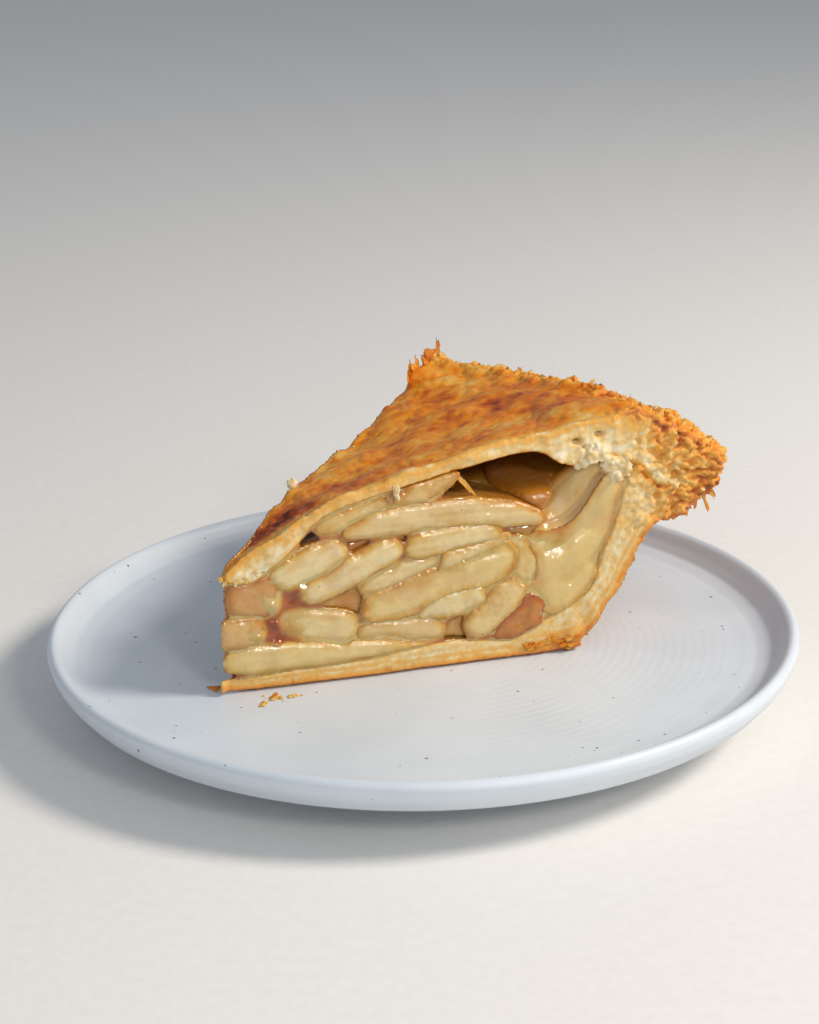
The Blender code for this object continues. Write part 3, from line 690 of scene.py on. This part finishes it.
broad = lumps(points, 9 * MM, 28)
skin_tone = 0.42 + 0.16 * broad + 0.14 * (0.5 - wall_bumps) * (1 - rim)
# Painted shade: the rim is painted darker in its crevices and holes.
skin_tone += rim * (0.40 * crevice_shade - 0.06)
wavy = baked_side + 0.7 * MM * lumps(flat, 5 * MM, 29)
crumb_tone = 0.13 + 0.32 * (1 - step(wavy, 0.7 * MM, 2.3 * MM)) + 0.05 * layers + 0.04 * broad
crumb_tone += 0.12 * np.exp(-((wavy / MM - 2.9) / 0.35) ** 2)
corner = patch(points / MM, on_cut(92, 1.5) / MM, (9, 9, 4)) * (0.30 + 0.34 * layers)
golden = torn * step(r, 113 * MM, 126 * MM)
# Painted shade: where the cut is torn, its crevices and holes are painted darker.
toast_and_shade = outside * skin_tone + cut * (crumb_tone + corner + golden * (0.16 + 0.50 * crevice_shade))
toast_and_shade += (1 - outside) * (1 - cut) * SOAKED_TOAST
crust_meshes.append(crust)
hand_over(
    "bottom_crust_baked", crust, bottom_pastry, ["bottom_crust"],
    {"toast_and_shade": np.clip(toast_and_shade, 0, 1), "cut": cut},
)

# %% [markdown]
# ## Stewed fruit
# Slices of a firm, pale apple, baked until just tender: cream in the middle, more
# yellow and glassy towards the edges, where syrup has gone in, with a pinkish blush
# here and there. Light enters such flesh and scatters for a few millimetres, so the
# shader gets subsurface scattering, and a wet, rippled coat on top. Ground cinnamon
# leaves brown dots.

# %% Fruit material
FIBRE_SIZE = 0.7 * MM
CINNAMON_CELL = 2.6 * MM
DROP_SIZE = 1.8 * MM
FLESH_CLOUD = 5 * MM
BLUSH_SIZE = 9 * MM
CREAM = (
    (0.30, "#bd7e28"), (0.46, "#cf9a3e"), (0.58, "#d8ae5a"), (0.76, "#d9b97c"), (1.0, "#e2cd9c"),
)
YELLOW = ((0.30, "#bd8228"), (0.46, "#cf9d3e"), (0.62, "#d4ab54"), (1.0, "#dec27c"))
STEEPED_AND_SHADE = ((0.25, "#9a4a10"), (0.60, "#b0601a"), (1.0, "#bf7c2a"))

fruit_flesh, tree, shader = new_material("stewed_fruit_flesh")
place = add_node(tree, "TexCoord").outputs["Object"]
core = add_node(tree, "Attribute", attribute_name="core").outputs["Fac"]
soak_and_shade = add_node(tree, "Attribute", attribute_name="soak_and_shade").outputs["Fac"]
ripeness = add_node(tree, "Attribute", attribute_name="ripeness").outputs["Fac"]
cloud = add_node(
    tree, "TexNoise",
    {"Vector": place, "Scale": 1 / FLESH_CLOUD, "Detail": 4.0, "Roughness": 0.55},
).outputs["Fac"]
wander = add_node(
    tree, "MapRange",
    {"Value": cloud, "From Min": 0.3, "From Max": 0.7, "To Min": -0.2, "To Max": 0.2},
)
firmness = add_node(tree, "Math", {0: core, 1: wander.outputs["Result"]}, operation="ADD")
cream, yellow, steeped_and_shade = (
    add_node(tree, "ValToRGB", {"Fac": firmness.outputs["Value"]}, stops=stops).outputs["Color"]
    for stops in (CREAM, YELLOW, STEEPED_AND_SHADE)
)
haze = add_node(tree, "TexNoise", {"Vector": place, "Scale": 1 / BLUSH_SIZE, "Detail": 2.0})
blush = add_node(
    tree, "MapRange",
    {"Value": haze.outputs["Fac"], "From Min": 0.50, "From Max": 0.70, "To Max": 0.25},
)
cinnamon = specks(tree, place, CINNAMON_CELL, 0.80, 0.13, 0.75)
tone = cream
# The soak mark mixes in steeped flesh; on the slabs under the crust it also brings painted shade.
for share, over in (
    (ripeness, yellow), (soak_and_shade, steeped_and_shade), (blush.outputs["Result"], "#c79470"),
    (cinnamon, "#7a4a22"),
):
    tone = add_node(
        tree, "Mix", {0: share, MIX_A: tone, MIX_B: over}, data_type="RGBA"
    ).outputs[MIX_RESULT]
fibres = add_node(tree, "TexNoise", {"Vector": place, "Scale": 1 / FIBRE_SIZE, "Detail": 3.0})
rough = add_node(
    tree, "MapRange",
    {"Value": cloud, "From Min": 0.3, "From Max": 0.7, "To Min": 0.16, "To Max": 0.34},
)
bump = add_node(
    tree, "Bump", {"Height": fibres.outputs["Fac"], "Strength": 0.25, "Distance": 0.15 * MM}
)
drops = add_node(tree, "TexNoise", {"Vector": place, "Scale": 1 / DROP_SIZE, "Detail": 2.0})
wet = add_node(
    tree, "Bump", {"Height": drops.outputs["Fac"], "Strength": 0.6, "Distance": 0.5 * MM}
)
set_inputs(tree, shader, {
    "Base Color": tone, "Roughness": rough.outputs["Result"], "Normal": bump.outputs["Normal"],
    "Coat Normal": wet.outputs["Normal"], "Coat Weight": 0.9, "Coat Roughness": 0.07,
    "IOR": 1.38, "Subsurface Weight": 0.55, "Subsurface Radius": (1.0, 0.6, 0.25),
    "Subsurface Scale": 3.0 * MM,
})

# %% [markdown]
# ## Fruit slices
# Each slice keeps its own node's place. Its knife edges soften in the oven, and it
# swells until it presses on its neighbours. The mark "core" falls from the middle of
# a cut face to its edges, the soak mark says how much syrup that slice took up, and
# "ripeness" how yellow its flesh is. On the slabs that lie under the top crust the
# soak mark also carries painted shade, darker the higher they reach into the hollow
# under the crust. The big slab at the right leans away at its upper left corner, and
# a brown crease crosses it. Swells, ripples and rises are in mm.

# %% Fruit slices
NEAR_VOXEL = 0.42 * MM
FAR_VOXEL = 0.60 * MM
SWELL = 0.75
DOME = 0.9
SWELLS = {"wide_slab": 1.7, "end_lens": 1.2, "base_slab": 0.5, "back_slab_low": 1.5}
# Painted shade under the top crust: how much darker each of these slabs is painted at full height.
SHADE_UNDER_CRUST = {"back_slab_high": 0.4, "crust_slab_left": 0.2, "crust_slab_right": 0.2}
SOAK_AND_RIPENESS = {
    "amber_piece": (1.0, 0.0), "tip_upper": (0.70, 0.6), "tip_lower": (0.40, 0.8),
    "base_slab": (0.0, 0.8), "left_trapezoid": (0.0, 0.5), "base_bar": (0.20, 0.6),
    "left_bar": (0.0, 0.1), "mid_bar": (0.0, 0.15), "thin_bar": (0.10, 0.3),
    "upper_bar": (0.0, 0.3), "right_strip": (0.15, 0.5), "long_crescent": (0.12, 0.4),
    "wide_slab": (0.06, 0.8), "end_lens": (0.12, 0.9), "low_bar": (0.0, 0.2),
    "wedge_bar": (0.10, 0.7), "back_slab_low": (0.10, 0.9), "back_slab_high": (0.10, 0.7),
    "crust_slab_left": (0.05, 0.7), "crust_slab_right": (0.12, 0.7),
}
FAR_SOAK = (0.05, 0.45)
RIPPLE = 0.08
RIPPLES = {"wide_slab": 0.35, "base_slab": 0.25, "amber_piece": 0.6, "back_slab_low": 0.5}
RISES = {"back_slab_low": ((102, 45, 8, 5.0),), "back_slab_high": ((84, 46, 8, 2.0),)}
LEANS = {"back_slab_low": 35.0}
SLAB_CORNER = (90.0, 48.0)
SLAB_CORNER_RADIUS = 11.0
SLAB_CORNER_MOVE = (-1.0, -4.0, 7.0)
SLAB_CREASE = (
    (109.5, 45.6), (105.8, 45.2), (102.7, 42.5), (98.5, 39.3), (94.0, 37.0), (90.0, 36.4),
)
CREASE_WIDTH = 0.9
CREASE_DEPTH = 0.9
# The painted shade under the crust rises between these heights above the plate.
SHADE_FROM, SHADE_TO = 36 * MM, 50 * MM


def beside_line(u, v, corners, width):
    """1 on a broken line drawn on the near cut, falling to 0 beside it."""
    nearest = np.full(len(u), np.inf)
    for (u0, v0), (u1, v1) in zip(corners, corners[1:]):
        share = ((u - u0) * (u1 - u0) + (v - v0) * (v1 - v0)) / ((u1 - u0) ** 2 + (v1 - v0) ** 2)
        share = np.clip(share, 0, 1)
        beside = np.hypot(u - u0 - share * (u1 - u0), v - v0 - share * (v1 - v0))
        nearest = np.minimum(nearest, beside)
    return np.exp(-((nearest / width) ** 2))


def fibres_of(points, seed, lean=None):
    """Noise drawn out along a slice, or leaning that many degrees: thin fibres and broad bands."""
    centred = points - points.mean(0)
    axes = np.linalg.eigh(centred.T @ centred)[1]
    if lean is not None:
        along, inward = cut_axes(0)
        fibre = Matrix.Rotation(-math.radians(lean), 3, inward) @ along
        axes = np.column_stack([inward, inward.cross(fibre), fibre])
    thin = lumps(centred @ axes, (1.1 * MM, 1.3 * MM, 10 * MM), seed)
    return thin, lumps(centred @ axes, (3.5 * MM, 4 * MM, 16 * MM), seed + 0.5)


draw = random.Random(5)
fruit_meshes = []
for number, name in enumerate(SLICE_NAMES):
    slice_mesh = remeshed(merged_copy(name), FAR_VOXEL if name.startswith("far_") else NEAR_VOXEL)
    softened(slice_mesh, 7)
    points, normals = points_of(slice_mesh), normals_of(slice_mesh)
    facing = blurred(slice_mesh, facing_cut(points, normals), 3)
    rounding = blurred(slice_mesh, facing, 9)
    core = blurred(slice_mesh, rounding, 24)
    fibres, bands = fibres_of(points, 70 + number, LEANS.get(name))
    swell = SWELLS.get(name, SWELL) * (1 - facing) + 0.10 * fibres
    swell += DOME * facing * (0.4 * rounding + 0.6 * core - 0.8) + RIPPLES.get(name, RIPPLE) * bands
    swell += 0.30 * lumps(points, 7 * MM, 30 + number) + 0.08 * lumps(points, 2.2 * MM, 31)
    moved = points + normals * (swell * MM)[:, None]
    for u, height, radius, rise in RISES.get(name, ()):
        hill = patch(points / MM, on_cut(u, height) / MM, (radius, 2 * radius, radius))
        moved[:, 2] += rise * MM * hill
    soak_and_shade, ripeness = SOAK_AND_RIPENESS.get(name, (draw.uniform(*FAR_SOAK), draw.random()))
    # Painted shade: the slabs under the top crust are painted darker the higher they reach under
    # it.
    soak_and_shade = soak_and_shade + SHADE_UNDER_CRUST.get(name, 0) * step(points[:, 2] - TIP.z, SHADE_FROM, SHADE_TO)
    if name == "back_slab_low":
        along, inward = cut_axes(0)
        corner = patch(points / MM, on_cut(*SLAB_CORNER) / MM, SLAB_CORNER_RADIUS)
        left, rise, back = SLAB_CORNER_MOVE
        moved += np.outer(corner, along * left + UP * rise + inward * back) * MM
        u, v = (points - np.array(TIP)) @ np.array(along) / MM, (points[:, 2] - TIP.z) / MM
        crease = facing * beside_line(u, v, SLAB_CREASE, CREASE_WIDTH)
        moved -= normals * (CREASE_DEPTH * MM * crease)[:, None]
        soak_and_shade = soak_and_shade + crease * (0.25 + 0.6 * step(u, 98, 108))
    set_points(slice_mesh, moved)
    softened(slice_mesh, 2)
    fruit_meshes.append(slice_mesh)
    hand_over(
        "stewed_" + name, slice_mesh, fruit_flesh, [name],
        {"core": core + 0.14 * fibres + 0.22 * bands, "soak_and_shade": np.clip(soak_and_shade, 0, 1),
         "ripeness": np.full(len(points), ripeness)},
    )

# %% [markdown]
# ## Syrup
# Fruit juice, sugar, butter and cinnamon, boiled down until it clings. It is amber
# where thin and red-brown where it pools, so the mark "pool" grows with its depth over
# the fruit. It is glassy smooth (roughness about 0.1) and translucent, with an IOR near
# that of heavy sugar syrup.

# %% Syrup material
SYRUP_CLOUD = 7 * MM
SYRUP_COLOURS = (
    (0.0, "#dfbb74"), (0.25, "#d3a046"), (0.50, "#c47c20"), (0.75, "#b05c12"), (1.0, "#96430a"),
)

syrup_glass, tree, shader = new_material("spiced_fruit_syrup")
place = add_node(tree, "TexCoord").outputs["Object"]
pool = add_node(tree, "Attribute", attribute_name="pool").outputs["Fac"]
cloud = add_node(tree, "TexNoise", {"Vector": place, "Scale": 1 / SYRUP_CLOUD, "Detail": 3.0})
shift = add_node(
    tree, "MapRange", {"Value": cloud.outputs["Fac"], "From Min": 0.3, "From Max": 0.7,
                       "To Min": -0.2, "To Max": 0.2}
)
depth = add_node(tree, "Math", {0: pool, 1: shift.outputs["Result"]}, operation="ADD")
tone = add_node(tree, "ValToRGB", {"Fac": depth.outputs["Value"]}, stops=SYRUP_COLOURS)
set_inputs(tree, shader, {
    "Base Color": tone.outputs["Color"], "Roughness": 0.10, "IOR": 1.46,
    "Transmission Weight": 0.15, "Subsurface Weight": 0.4,
    "Subsurface Radius": (1.0, 0.45, 0.15), "Subsurface Scale": 3.0 * MM,
    "Coat Weight": 0.9, "Coat Roughness": 0.04,
})

# %% Syrup and packed fruit in the middle
FILLING_VOXEL = 0.7 * MM
CORE_POOL = 0.35

filling = remeshed(merged_copy("filling"), FILLING_VOXEL)
softened(filling, 4)
points, normals = points_of(filling), normals_of(filling)
set_points(filling, points + normals * ((0.35 + 0.25 * lumps(points, 5 * MM, 41)) * MM)[:, None])
core_pool = {"pool": np.full(len(points), CORE_POOL)}
hand_over("syrup_core", filling, syrup_glass, ["filling"], core_pool)

# %% [markdown]
# ## Syrup at the cuts
# When the slice was lifted out, syrup ran into the gaps between the fruit and stood
# there with a hollow surface, as water does in a narrow gap. A sheet of syrup finds
# that surface: rays from in front measure how deep the fruit lies behind the cut, and
# the depths are blurred, so the sheet hides inside the flat faces and bridges the
# gaps. Where it ran together near the tip it bulges in front. Bulges and pools are rows
# of u, v, half width, half height and amount, in mm along the cut. A closed row keeps
# the sheet whole over a gap, and one with a negative amount opens it.

# %% Syrup sheets
SHEET_STEP = 0.38
SHEET_REACH = ((2.0, 113.0), (3.5, 50.0))
SHEET_ROUNDS = 60
GAP_DEPTH = 1.0
FILLED_DEPTH = 2.6
FILLED_SHARE = 0.38
SHEET_BEHIND = 0.18
SHEET_THICKNESS = 0.7
IN_FRONT = 4.0
MISSED = 9.0
NEAR_BULGES = (
    (12.5, 15.0, 3.4, 1.4, 0.9), (16.0, 17.6, 2.4, 1.2, 0.8), (15.5, 12.4, 2.0, 1.0, 0.8),
    (19.0, 20.5, 3.6, 2.2, 0.7), (15.5, 23.0, 3.0, 2.4, 0.7), (22.0, 26.0, 2.6, 1.6, 0.7),
    (21.0, 16.2, 1.6, 2.2, 0.5), (62.5, 10.8, 2.4, 2.0, 0.3),
)
NEAR_POOLS = (
    (16.0, 16.5, 4.0, 4.5, 0.15), (62.5, 10.8, 3.0, 2.6, 0.3), (45.0, 36.0, 5.0, 1.8, 0.3),
    (66.0, 31.5, 4.5, 2.0, 0.3), (82.0, 36.5, 6.0, 1.5, 0.3),
)
NEAR_CLOSED = ((18.0, 18.0, 6.0, 9.0, 1.0), (88.5, 44.0, 6.0, 5.0, -1.2))
FAR_BULGES = ((40.0, 12.0, 4.0, 1.5, 0.6), (70.0, 26.0, 3.0, 1.5, 0.6))
FAR_POOLS = (
    (30.0, 12.0, 7.0, 4.0, 0.3), (62.0, 20.0, 8.0, 3.0, 0.3), (85.0, 32.0, 6.0, 4.0, 0.3),
)
DARK_AT = 2.6

whole = bmesh.new()
for mesh in [*fruit_meshes, *crust_meshes]:
    whole.from_mesh(mesh)
food_tree = BVHTree.FromBMesh(whole)
whole.free()


def sum_of_patches(u, v, rows):
    """Adds up the hills of such rows over the sheet."""
    total = np.zeros(len(u))
    for at_u, at_v, wide, high, amount in rows:
        total += amount * np.exp(-(((u - at_u) / wide) ** 2) - ((v - at_v) / high) ** 2)
    return total


def syrup_sheet(name, turn, bulges, pools, closed=()):
    """The surface of the syrup at one cut, as a closed sheet."""
    (u0, u1), (v0, v1) = SHEET_REACH
    inward = cut_axes(turn)[1]
    bm = bmesh.new()
    columns, rows = round((u1 - u0) / SHEET_STEP), round((v1 - v0) / SHEET_STEP)
    bmesh.ops.create_grid(bm, x_segments=columns, y_segments=rows, size=0.5)
    grid = bpy.data.meshes.new("grid")
    bm.to_mesh(grid)
    flat = points_of(grid)
    u, v = u0 + (flat[:, 0] + 0.5) * (u1 - u0), v0 + (flat[:, 1] + 0.5) * (v1 - v0)
    depth = []
    for at_u, at_v in zip(u.tolist(), v.tolist()):
        start = on_cut(at_u, at_v, -IN_FRONT, turn)
        hit = food_tree.ray_cast(start, inward, (IN_FRONT + MISSED) * MM)
        depth.append(MISSED if hit[0] is None else hit[3] / MM - IN_FRONT)
    depth = np.array(depth)
    kept = sum_of_patches(u, v, closed)
    packed = blurred(grid, (depth < FILLED_DEPTH).astype(float), 14) + kept
    surface = blurred(grid, np.minimum(depth, GAP_DEPTH), SHEET_ROUNDS) + SHEET_BEHIND
    runny = 0.10 + 0.45 * np.maximum(kept, 0)
    surface += runny * lumps(np.stack([u, v, 0 * u], 1), 2.6, 51 + turn)
    surface -= sum_of_patches(u, v, bulges)
    pool = 0.85 * blurred(grid, np.clip((depth - surface) / DARK_AT, 0, 1), 5)
    pool += sum_of_patches(u, v, pools)
    bpy.data.meshes.remove(grid)
    pool_mark = bm.verts.layers.float.new("pool")
    bm.verts.ensure_lookup_table()
    for i, vert in enumerate(bm.verts):
        vert.co = on_cut(u[i], v[i], surface[i], turn)
        vert[pool_mark] = min(pool[i], 1.0)
    bare = [vert for i, vert in enumerate(bm.verts) if packed[i] < FILLED_SHARE]
    bmesh.ops.delete(bm, geom=bare, context="VERTS")
    if bm.faces[:] and bm.faces[:][0].normal.dot(inward) > 0:
        bmesh.ops.reverse_faces(bm, faces=bm.faces)
    bmesh.ops.solidify(bm, geom=bm.faces[:], thickness=SHEET_THICKNESS * MM)
    hand_over(name, mesh_from(bm), syrup_glass)


syrup_sheet("syrup_near_cut", 0, NEAR_BULGES, NEAR_POOLS, NEAR_CLOSED)
syrup_sheet("syrup_far_cut", 1, FAR_BULGES, FAR_POOLS)

# %% [markdown]
# ## Flakes, crumbs and torn dough
# Pastry leaves bits behind: pointed flakes that stand at the far corner and all over
# the rim, crumbs on the plate, and raw-looking dough that the knife pulled out of the
# near cut. A flake is a small grid, bent and narrowed to a point, then thickened. A
# crumb is a rough ball. Dough is several balls melted into one by a voxel remesh.

# %% Flake and crumb helpers
FLAKE_THICKNESS = 0.24


def flake(bm, place, out, along, length, width, curl, toast_and_shade):
    """A pointed flake from a place, in mm, lying along one direction and curling out."""
    along, out = along.normalized(), out.normalized()
    side = out.cross(along).normalized()
    mark = bm.verts.layers.float["toast_and_shade"]
    made = bmesh.ops.create_grid(bm, x_segments=5, y_segments=3, size=0.5)["verts"]
    for vert in made:
        x, y = vert.co.x + 0.5, vert.co.y
        jag = noise.noise(Vector((x * 2.4, y * 2.4, length + width * 9)))
        reach = x * length * (1 + 0.5 * jag)
        across = y * width * (0.75 * (1 - x) ** 0.4 + 0.3) * (1 + 0.7 * jag)
        lift = curl * x * x + 0.35 * jag
        vert.co = place + (along * reach + side * across + out * lift) * MM
        vert[mark] = toast_and_shade + 0.2 * jag
    faces = list({face for vert in made for face in vert.link_faces})
    bmesh.ops.solidify(bm, geom=faces, thickness=FLAKE_THICKNESS * MM)


def ball(bm, place, radii, subdivisions, seed, roughness=0.3):
    """A rough ball of those three radii in mm."""
    made = bmesh.ops.create_icosphere(bm, subdivisions=subdivisions, radius=1.0)["verts"]
    for vert in made:
        bulge = 1 + roughness * noise.noise(vert.co * 1.6 + Vector((seed, seed * 2.7, 0)))
        stretched = Vector([side * radius for side, radius in zip(vert.co, radii)])
        vert.co = place + stretched * bulge * MM
    return made


def marked_bmesh(*marks):
    bm = bmesh.new()
    for mark in marks:
        bm.verts.layers.float.new(mark)
    return bm


# %% Flakes
CORNER_FLAKES = 11
RIM_FLAKES = 420
CORNER_CHIPS = 16
STRAWS = (
    (132.2, 39.2, 1.5, 4.6, 0.3, 0.42), (130.6, 38.4, 3.0, 3.4, -0.1, 0.5),
    (134.0, 41.0, 2.5, 3.8, 0.5, 0.4), (64.4, 52.2, 1.8, 7.2, 0.75, 0.30),
    (126.5, 37.0, 1.0, 2.6, 0.2, 0.3), (2.2, 32.2, 0.3, 1.4, 0.1, 0.24),
    (3.4, 31.2, 0.3, 1.8, -0.3, 0.16), (5.8, 30.8, 0.2, 1.6, 0.2, 0.12),
    (8.2, 31.4, 0.3, 1.9, 0.5, 0.14), (11.0, 32.8, 0.2, 1.5, 0.6, 0.12),
)

draw = random.Random(11)
bm = marked_bmesh("toast_and_shade", "cut")
far_along, far_inward = cut_axes(1)
for number in range(CORNER_FLAKES):
    u = 99 + 19 * number / (CORNER_FLAKES - 1) + draw.uniform(-1, 1)
    top = food_tree.ray_cast(on_cut(u, 90, draw.uniform(0.4, 2.0), 1), -UP)[0]
    lean = far_along * draw.uniform(-1.2, 0.9) - far_inward * draw.uniform(0.1, 0.8)
    lean += UP * draw.uniform(0.5, 1.2)
    flake(bm, top - UP * 0.4 * MM, far_inward, lean, draw.uniform(2.4, 5.0), draw.uniform(2.6, 4.6),
          draw.uniform(-1.0, 1.0), draw.uniform(0.35, 0.6))
rim_points = np.concatenate([points_of(mesh) for mesh in crust_meshes])
rim_normals = np.concatenate([normals_of(mesh) for mesh in crust_meshes])
r, _, v, near, _ = slice_coordinates(rim_points)
on_rim = (r > 114 * MM) & (v > 33 * MM) & (rim_normals[:, 2] > -0.6)
spots = np.flatnonzero(on_rim & ((near > 1.2 * MM) | (r > 124 * MM)))
for spot in draw.sample(spots.tolist(), RIM_FLAKES):
    place, out = Vector(rim_points[spot]), Vector(rim_normals[spot])
    lean = Vector([draw.uniform(-1, 1) for _ in range(3)]) + out * 0.7
    flake(bm, place - out * 0.3 * MM, out, lean, draw.uniform(0.8, 2.0), draw.uniform(1.0, 2.2),
          draw.uniform(-0.3, 0.6), draw.uniform(0.14, 0.52))
along, inward = cut_axes(0)
for u, v, depth, length, lean_u, toast_and_shade in STRAWS:
    flake(bm, on_cut(u, v, depth), -inward, along * lean_u - UP, length, 1.2, 0.3, toast_and_shade)
for number in range(CORNER_CHIPS):
    u, v = draw.uniform(84, 97), draw.uniform(0.8, 4.2)
    lean = along * draw.choice((-1, 1)) + UP * draw.uniform(-0.2, 0.35)
    lean -= inward * draw.uniform(0, 0.3)
    flake(bm, on_cut(u, v, 0.2), -inward, lean, draw.uniform(1.6, 3.2), draw.uniform(0.7, 1.3),
          draw.uniform(0.0, 0.3), draw.uniform(0.3, 0.55))
hand_over("pastry_flakes", mesh_from(bm), top_pastry)

# %% Torn dough
DOUGH_VOXEL = 0.34 * MM
DOUGH_BALLS = (
    (98.4, 52.0, 1.3, 1.7), (100.4, 53.4, 0.7, 2.0), (102.6, 55.2, 0.9, 1.9),
    (100.2, 55.6, 1.6, 1.6), (96.8, 50.9, 1.7, 1.1), (103.6, 53.0, 1.2, 1.5),
    (105.6, 51.8, 1.6, 1.9), (108.0, 51.2, 1.5, 1.9), (94.6, 52.6, 1.8, 1.3),
    (110.0, 52.4, 1.2, 1.5), (92.0, 53.4, 1.9, 1.2), (105.5, 49.6, 2.8, 2.4),
    (107.4, 47.0, 2.4, 2.2), (110.4, 49.2, 1.9, 1.9), (111.2, 47.4, 2.2, 1.5),
    (48.0, 50.4, 0.1, 1.1), (48.1, 48.9, 0.2, 0.9), (48.4, 47.7, 0.4, 0.6),
)
FAR_CRUMB = (37.7, 45.6, 0.3, 1)
bm = bmesh.new()
for number, (u, v, depth, size) in enumerate(DOUGH_BALLS):
    ball(bm, on_cut(u, v, depth), (size, size, size * 0.9), 3, number, 0.5)
ball(bm, on_cut(*FAR_CRUMB), (1.5, 1.4, 1.6), 3, 30, 0.5)
dough = remeshed(bm, DOUGH_VOXEL)
softened(dough, 3)
points, normals = points_of(dough), normals_of(dough)
fluff = 0.26 * (billows(points, 1.9 * MM, 61) - 0.5)
fluff += 0.10 * (billows(points, 0.8 * MM, 62) - 0.5)
set_points(dough, points + normals * (fluff * MM)[:, None])
hand_over(
    "torn_dough", dough, top_pastry, (),
    {"toast_and_shade": 0.07 + 0.06 * fluff, "cut": np.ones(len(points))},
)

# %% Crumbs on the plate
PLATE_FLOOR = 13.2
STREAK = (
    (-40.7, -41.4), (-39.4, -39.6), (-37.9, -37.9), (-36.2, -37.4), (-34.2, -36.8),
    (-32.4, -36.4),
)
STREAK_CRUMBS = 26
LOOSE_CRUMBS = 9

bm = marked_bmesh("toast_and_shade", "cut")
mark = bm.verts.layers.float["toast_and_shade"]
for number in range(STREAK_CRUMBS + LOOSE_CRUMBS):
    if number < STREAK_CRUMBS:
        x, y = STREAK[min(len(STREAK) - 1, int(draw.random() * len(STREAK)))]
        x, y = x + draw.gauss(0, 0.8), y + draw.gauss(0, 0.4)
        size = draw.uniform(0.2, 0.55)
    else:
        at = on_cut(draw.uniform(-6, 120), 0, -draw.uniform(1.5, 9)) / MM
        x, y, size = at.x, at.y, draw.uniform(0.14, 0.32)
    radii = (size * draw.uniform(0.8, 1.5), size * draw.uniform(0.7, 1.1), size * 0.7)
    tone = draw.uniform(0.14, 0.30)
    for vert in ball(bm, Vector((x, y, PLATE_FLOOR + radii[2] * 0.8)) * MM, radii, 2, number, 0.6):
        vert[mark] = tone
flake(bm, Vector((-52.6, -31.6, 13.6)) * MM, UP, Vector((-1, 0.35, 0)), 3.6, 2.4, 0.2, 0.45)
flake(bm, Vector((-38.6, -38.6, 13.5)) * MM, UP, Vector((0.4, 1, 0.3)), 2.4, 1.6, 0.5, 0.5)
hand_over("plate_crumbs", mesh_from(bm), bottom_pastry)

# %% [markdown]
# ## Floor, light and camera
# The floor is plain and pale. The key light stands at the right and a little behind,
# and throws the slice's shadow to the left as in the photograph. A window and a broad
# weak fill in front open the shadows of the cut face, and the fourth light lights no
# surface and shows only as glints in what is wet. The camera stands where the plate's
# outline in the photograph says it stood.

# %% Floor
FLOOR_HALF = 6.0
FLOOR_BACK = 4.0
PAPER_TOOTH = 3 * MM

bm = bmesh.new()
bmesh.ops.create_grid(bm, x_segments=1, y_segments=1, size=FLOOR_HALF)
bmesh.ops.translate(bm, verts=bm.verts, vec=(0, FLOOR_BACK, 0))
floor_mesh = mesh_from(bm)
paper, tree, shader = new_material("matte_paper_floor")
place = add_node(tree, "TexCoord").outputs["Object"]
tooth = add_node(tree, "TexNoise", {"Vector": place, "Scale": 1 / PAPER_TOOTH, "Detail": 2.0})
tone = add_node(
    tree, "ValToRGB", {"Fac": tooth.outputs["Fac"]}, stops=((0.3, "#eae8e4"), (0.7, "#eeece8"))
)
set_inputs(tree, shader, {"Base Color": tone.outputs["Color"], "Roughness": 0.9})
floor_mesh.materials.append(paper)
floor = bpy.data.objects.new("floor", floor_mesh)
bpy.context.scene.collection.objects.link(floor)
floor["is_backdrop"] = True

# %% Lights
def soft_light(name, place, aim, size, power, tint, lights_surfaces=True):
    """An area light at a place, turned to a point. One that lights no surface is a glint."""
    lamp = bpy.data.lights.new(name, "AREA")
    lamp.shape = "DISK"
    lamp.size = size
    lamp.energy = power
    lamp.color = colour(tint)[:3]
    holder = bpy.data.objects.new(name, lamp)
    holder.location = place
    holder.visible_diffuse = lights_surfaces
    holder.rotation_euler = (Vector(aim) - Vector(place)).to_track_quat("-Z", "Y").to_euler()
    bpy.context.scene.collection.objects.link(holder)


FOOD_MIDDLE = (0, 0, 0.04)
GLINT_AIM = (0, 0, 0.03)
WORLD_STRENGTH = 0.38

soft_light("key", (0.92, -0.13, 0.84), FOOD_MIDDLE, 0.34, 12, "#fff6ea")
soft_light("window", (0.42, -0.85, 0.62), FOOD_MIDDLE, 0.20, 2.2, "#fffaf2")
soft_light("glint", (0.50, -0.88, 0.24), GLINT_AIM, 0.12, 1.5, "#ffffff", lights_surfaces=False)
soft_light("fill", (-0.25, -1.10, 0.60), FOOD_MIDDLE, 0.70, 1.6, "#f4f8ff")
world = bpy.data.worlds.new("pale_room")
world.use_nodes = True
background = world.node_tree.nodes["Background"]
set_inputs(world.node_tree, background, {"Color": "#e3ebf7", "Strength": WORLD_STRENGTH})
bpy.context.scene.world = world
bpy.context.scene.view_settings.view_transform = "Standard"

# %% Camera
CAMERA_PLACE = Vector((-2.94, -511.03, 229.47)) * MM
CAMERA_PITCH = math.radians(19.422)
CAMERA_ROLL = math.radians(-1.118)

lens = bpy.data.cameras.new("camera")
lens.lens = 72
lens.sensor_width = 36
lens.clip_start = 0.01
camera = bpy.data.objects.new("camera", lens)
tilt = Matrix.Rotation(math.radians(90) - CAMERA_PITCH, 4, "X")
camera.matrix_world = Matrix.Translation(CAMERA_PLACE) @ tilt @ Matrix.Rotation(CAMERA_ROLL, 4, "Z")
bpy.context.scene.collection.objects.link(camera)
bpy.context.scene.camera = camera
print("view transform:", bpy.context.scene.view_settings.view_transform)

dressed_low, dressed_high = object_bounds()
for axis, low, high in zip("xyz", dressed_low - cad_low, dressed_high - cad_high):
    print("axis", axis, "sides moved, mm:", round(low / MM, 2), round(high / MM, 2))
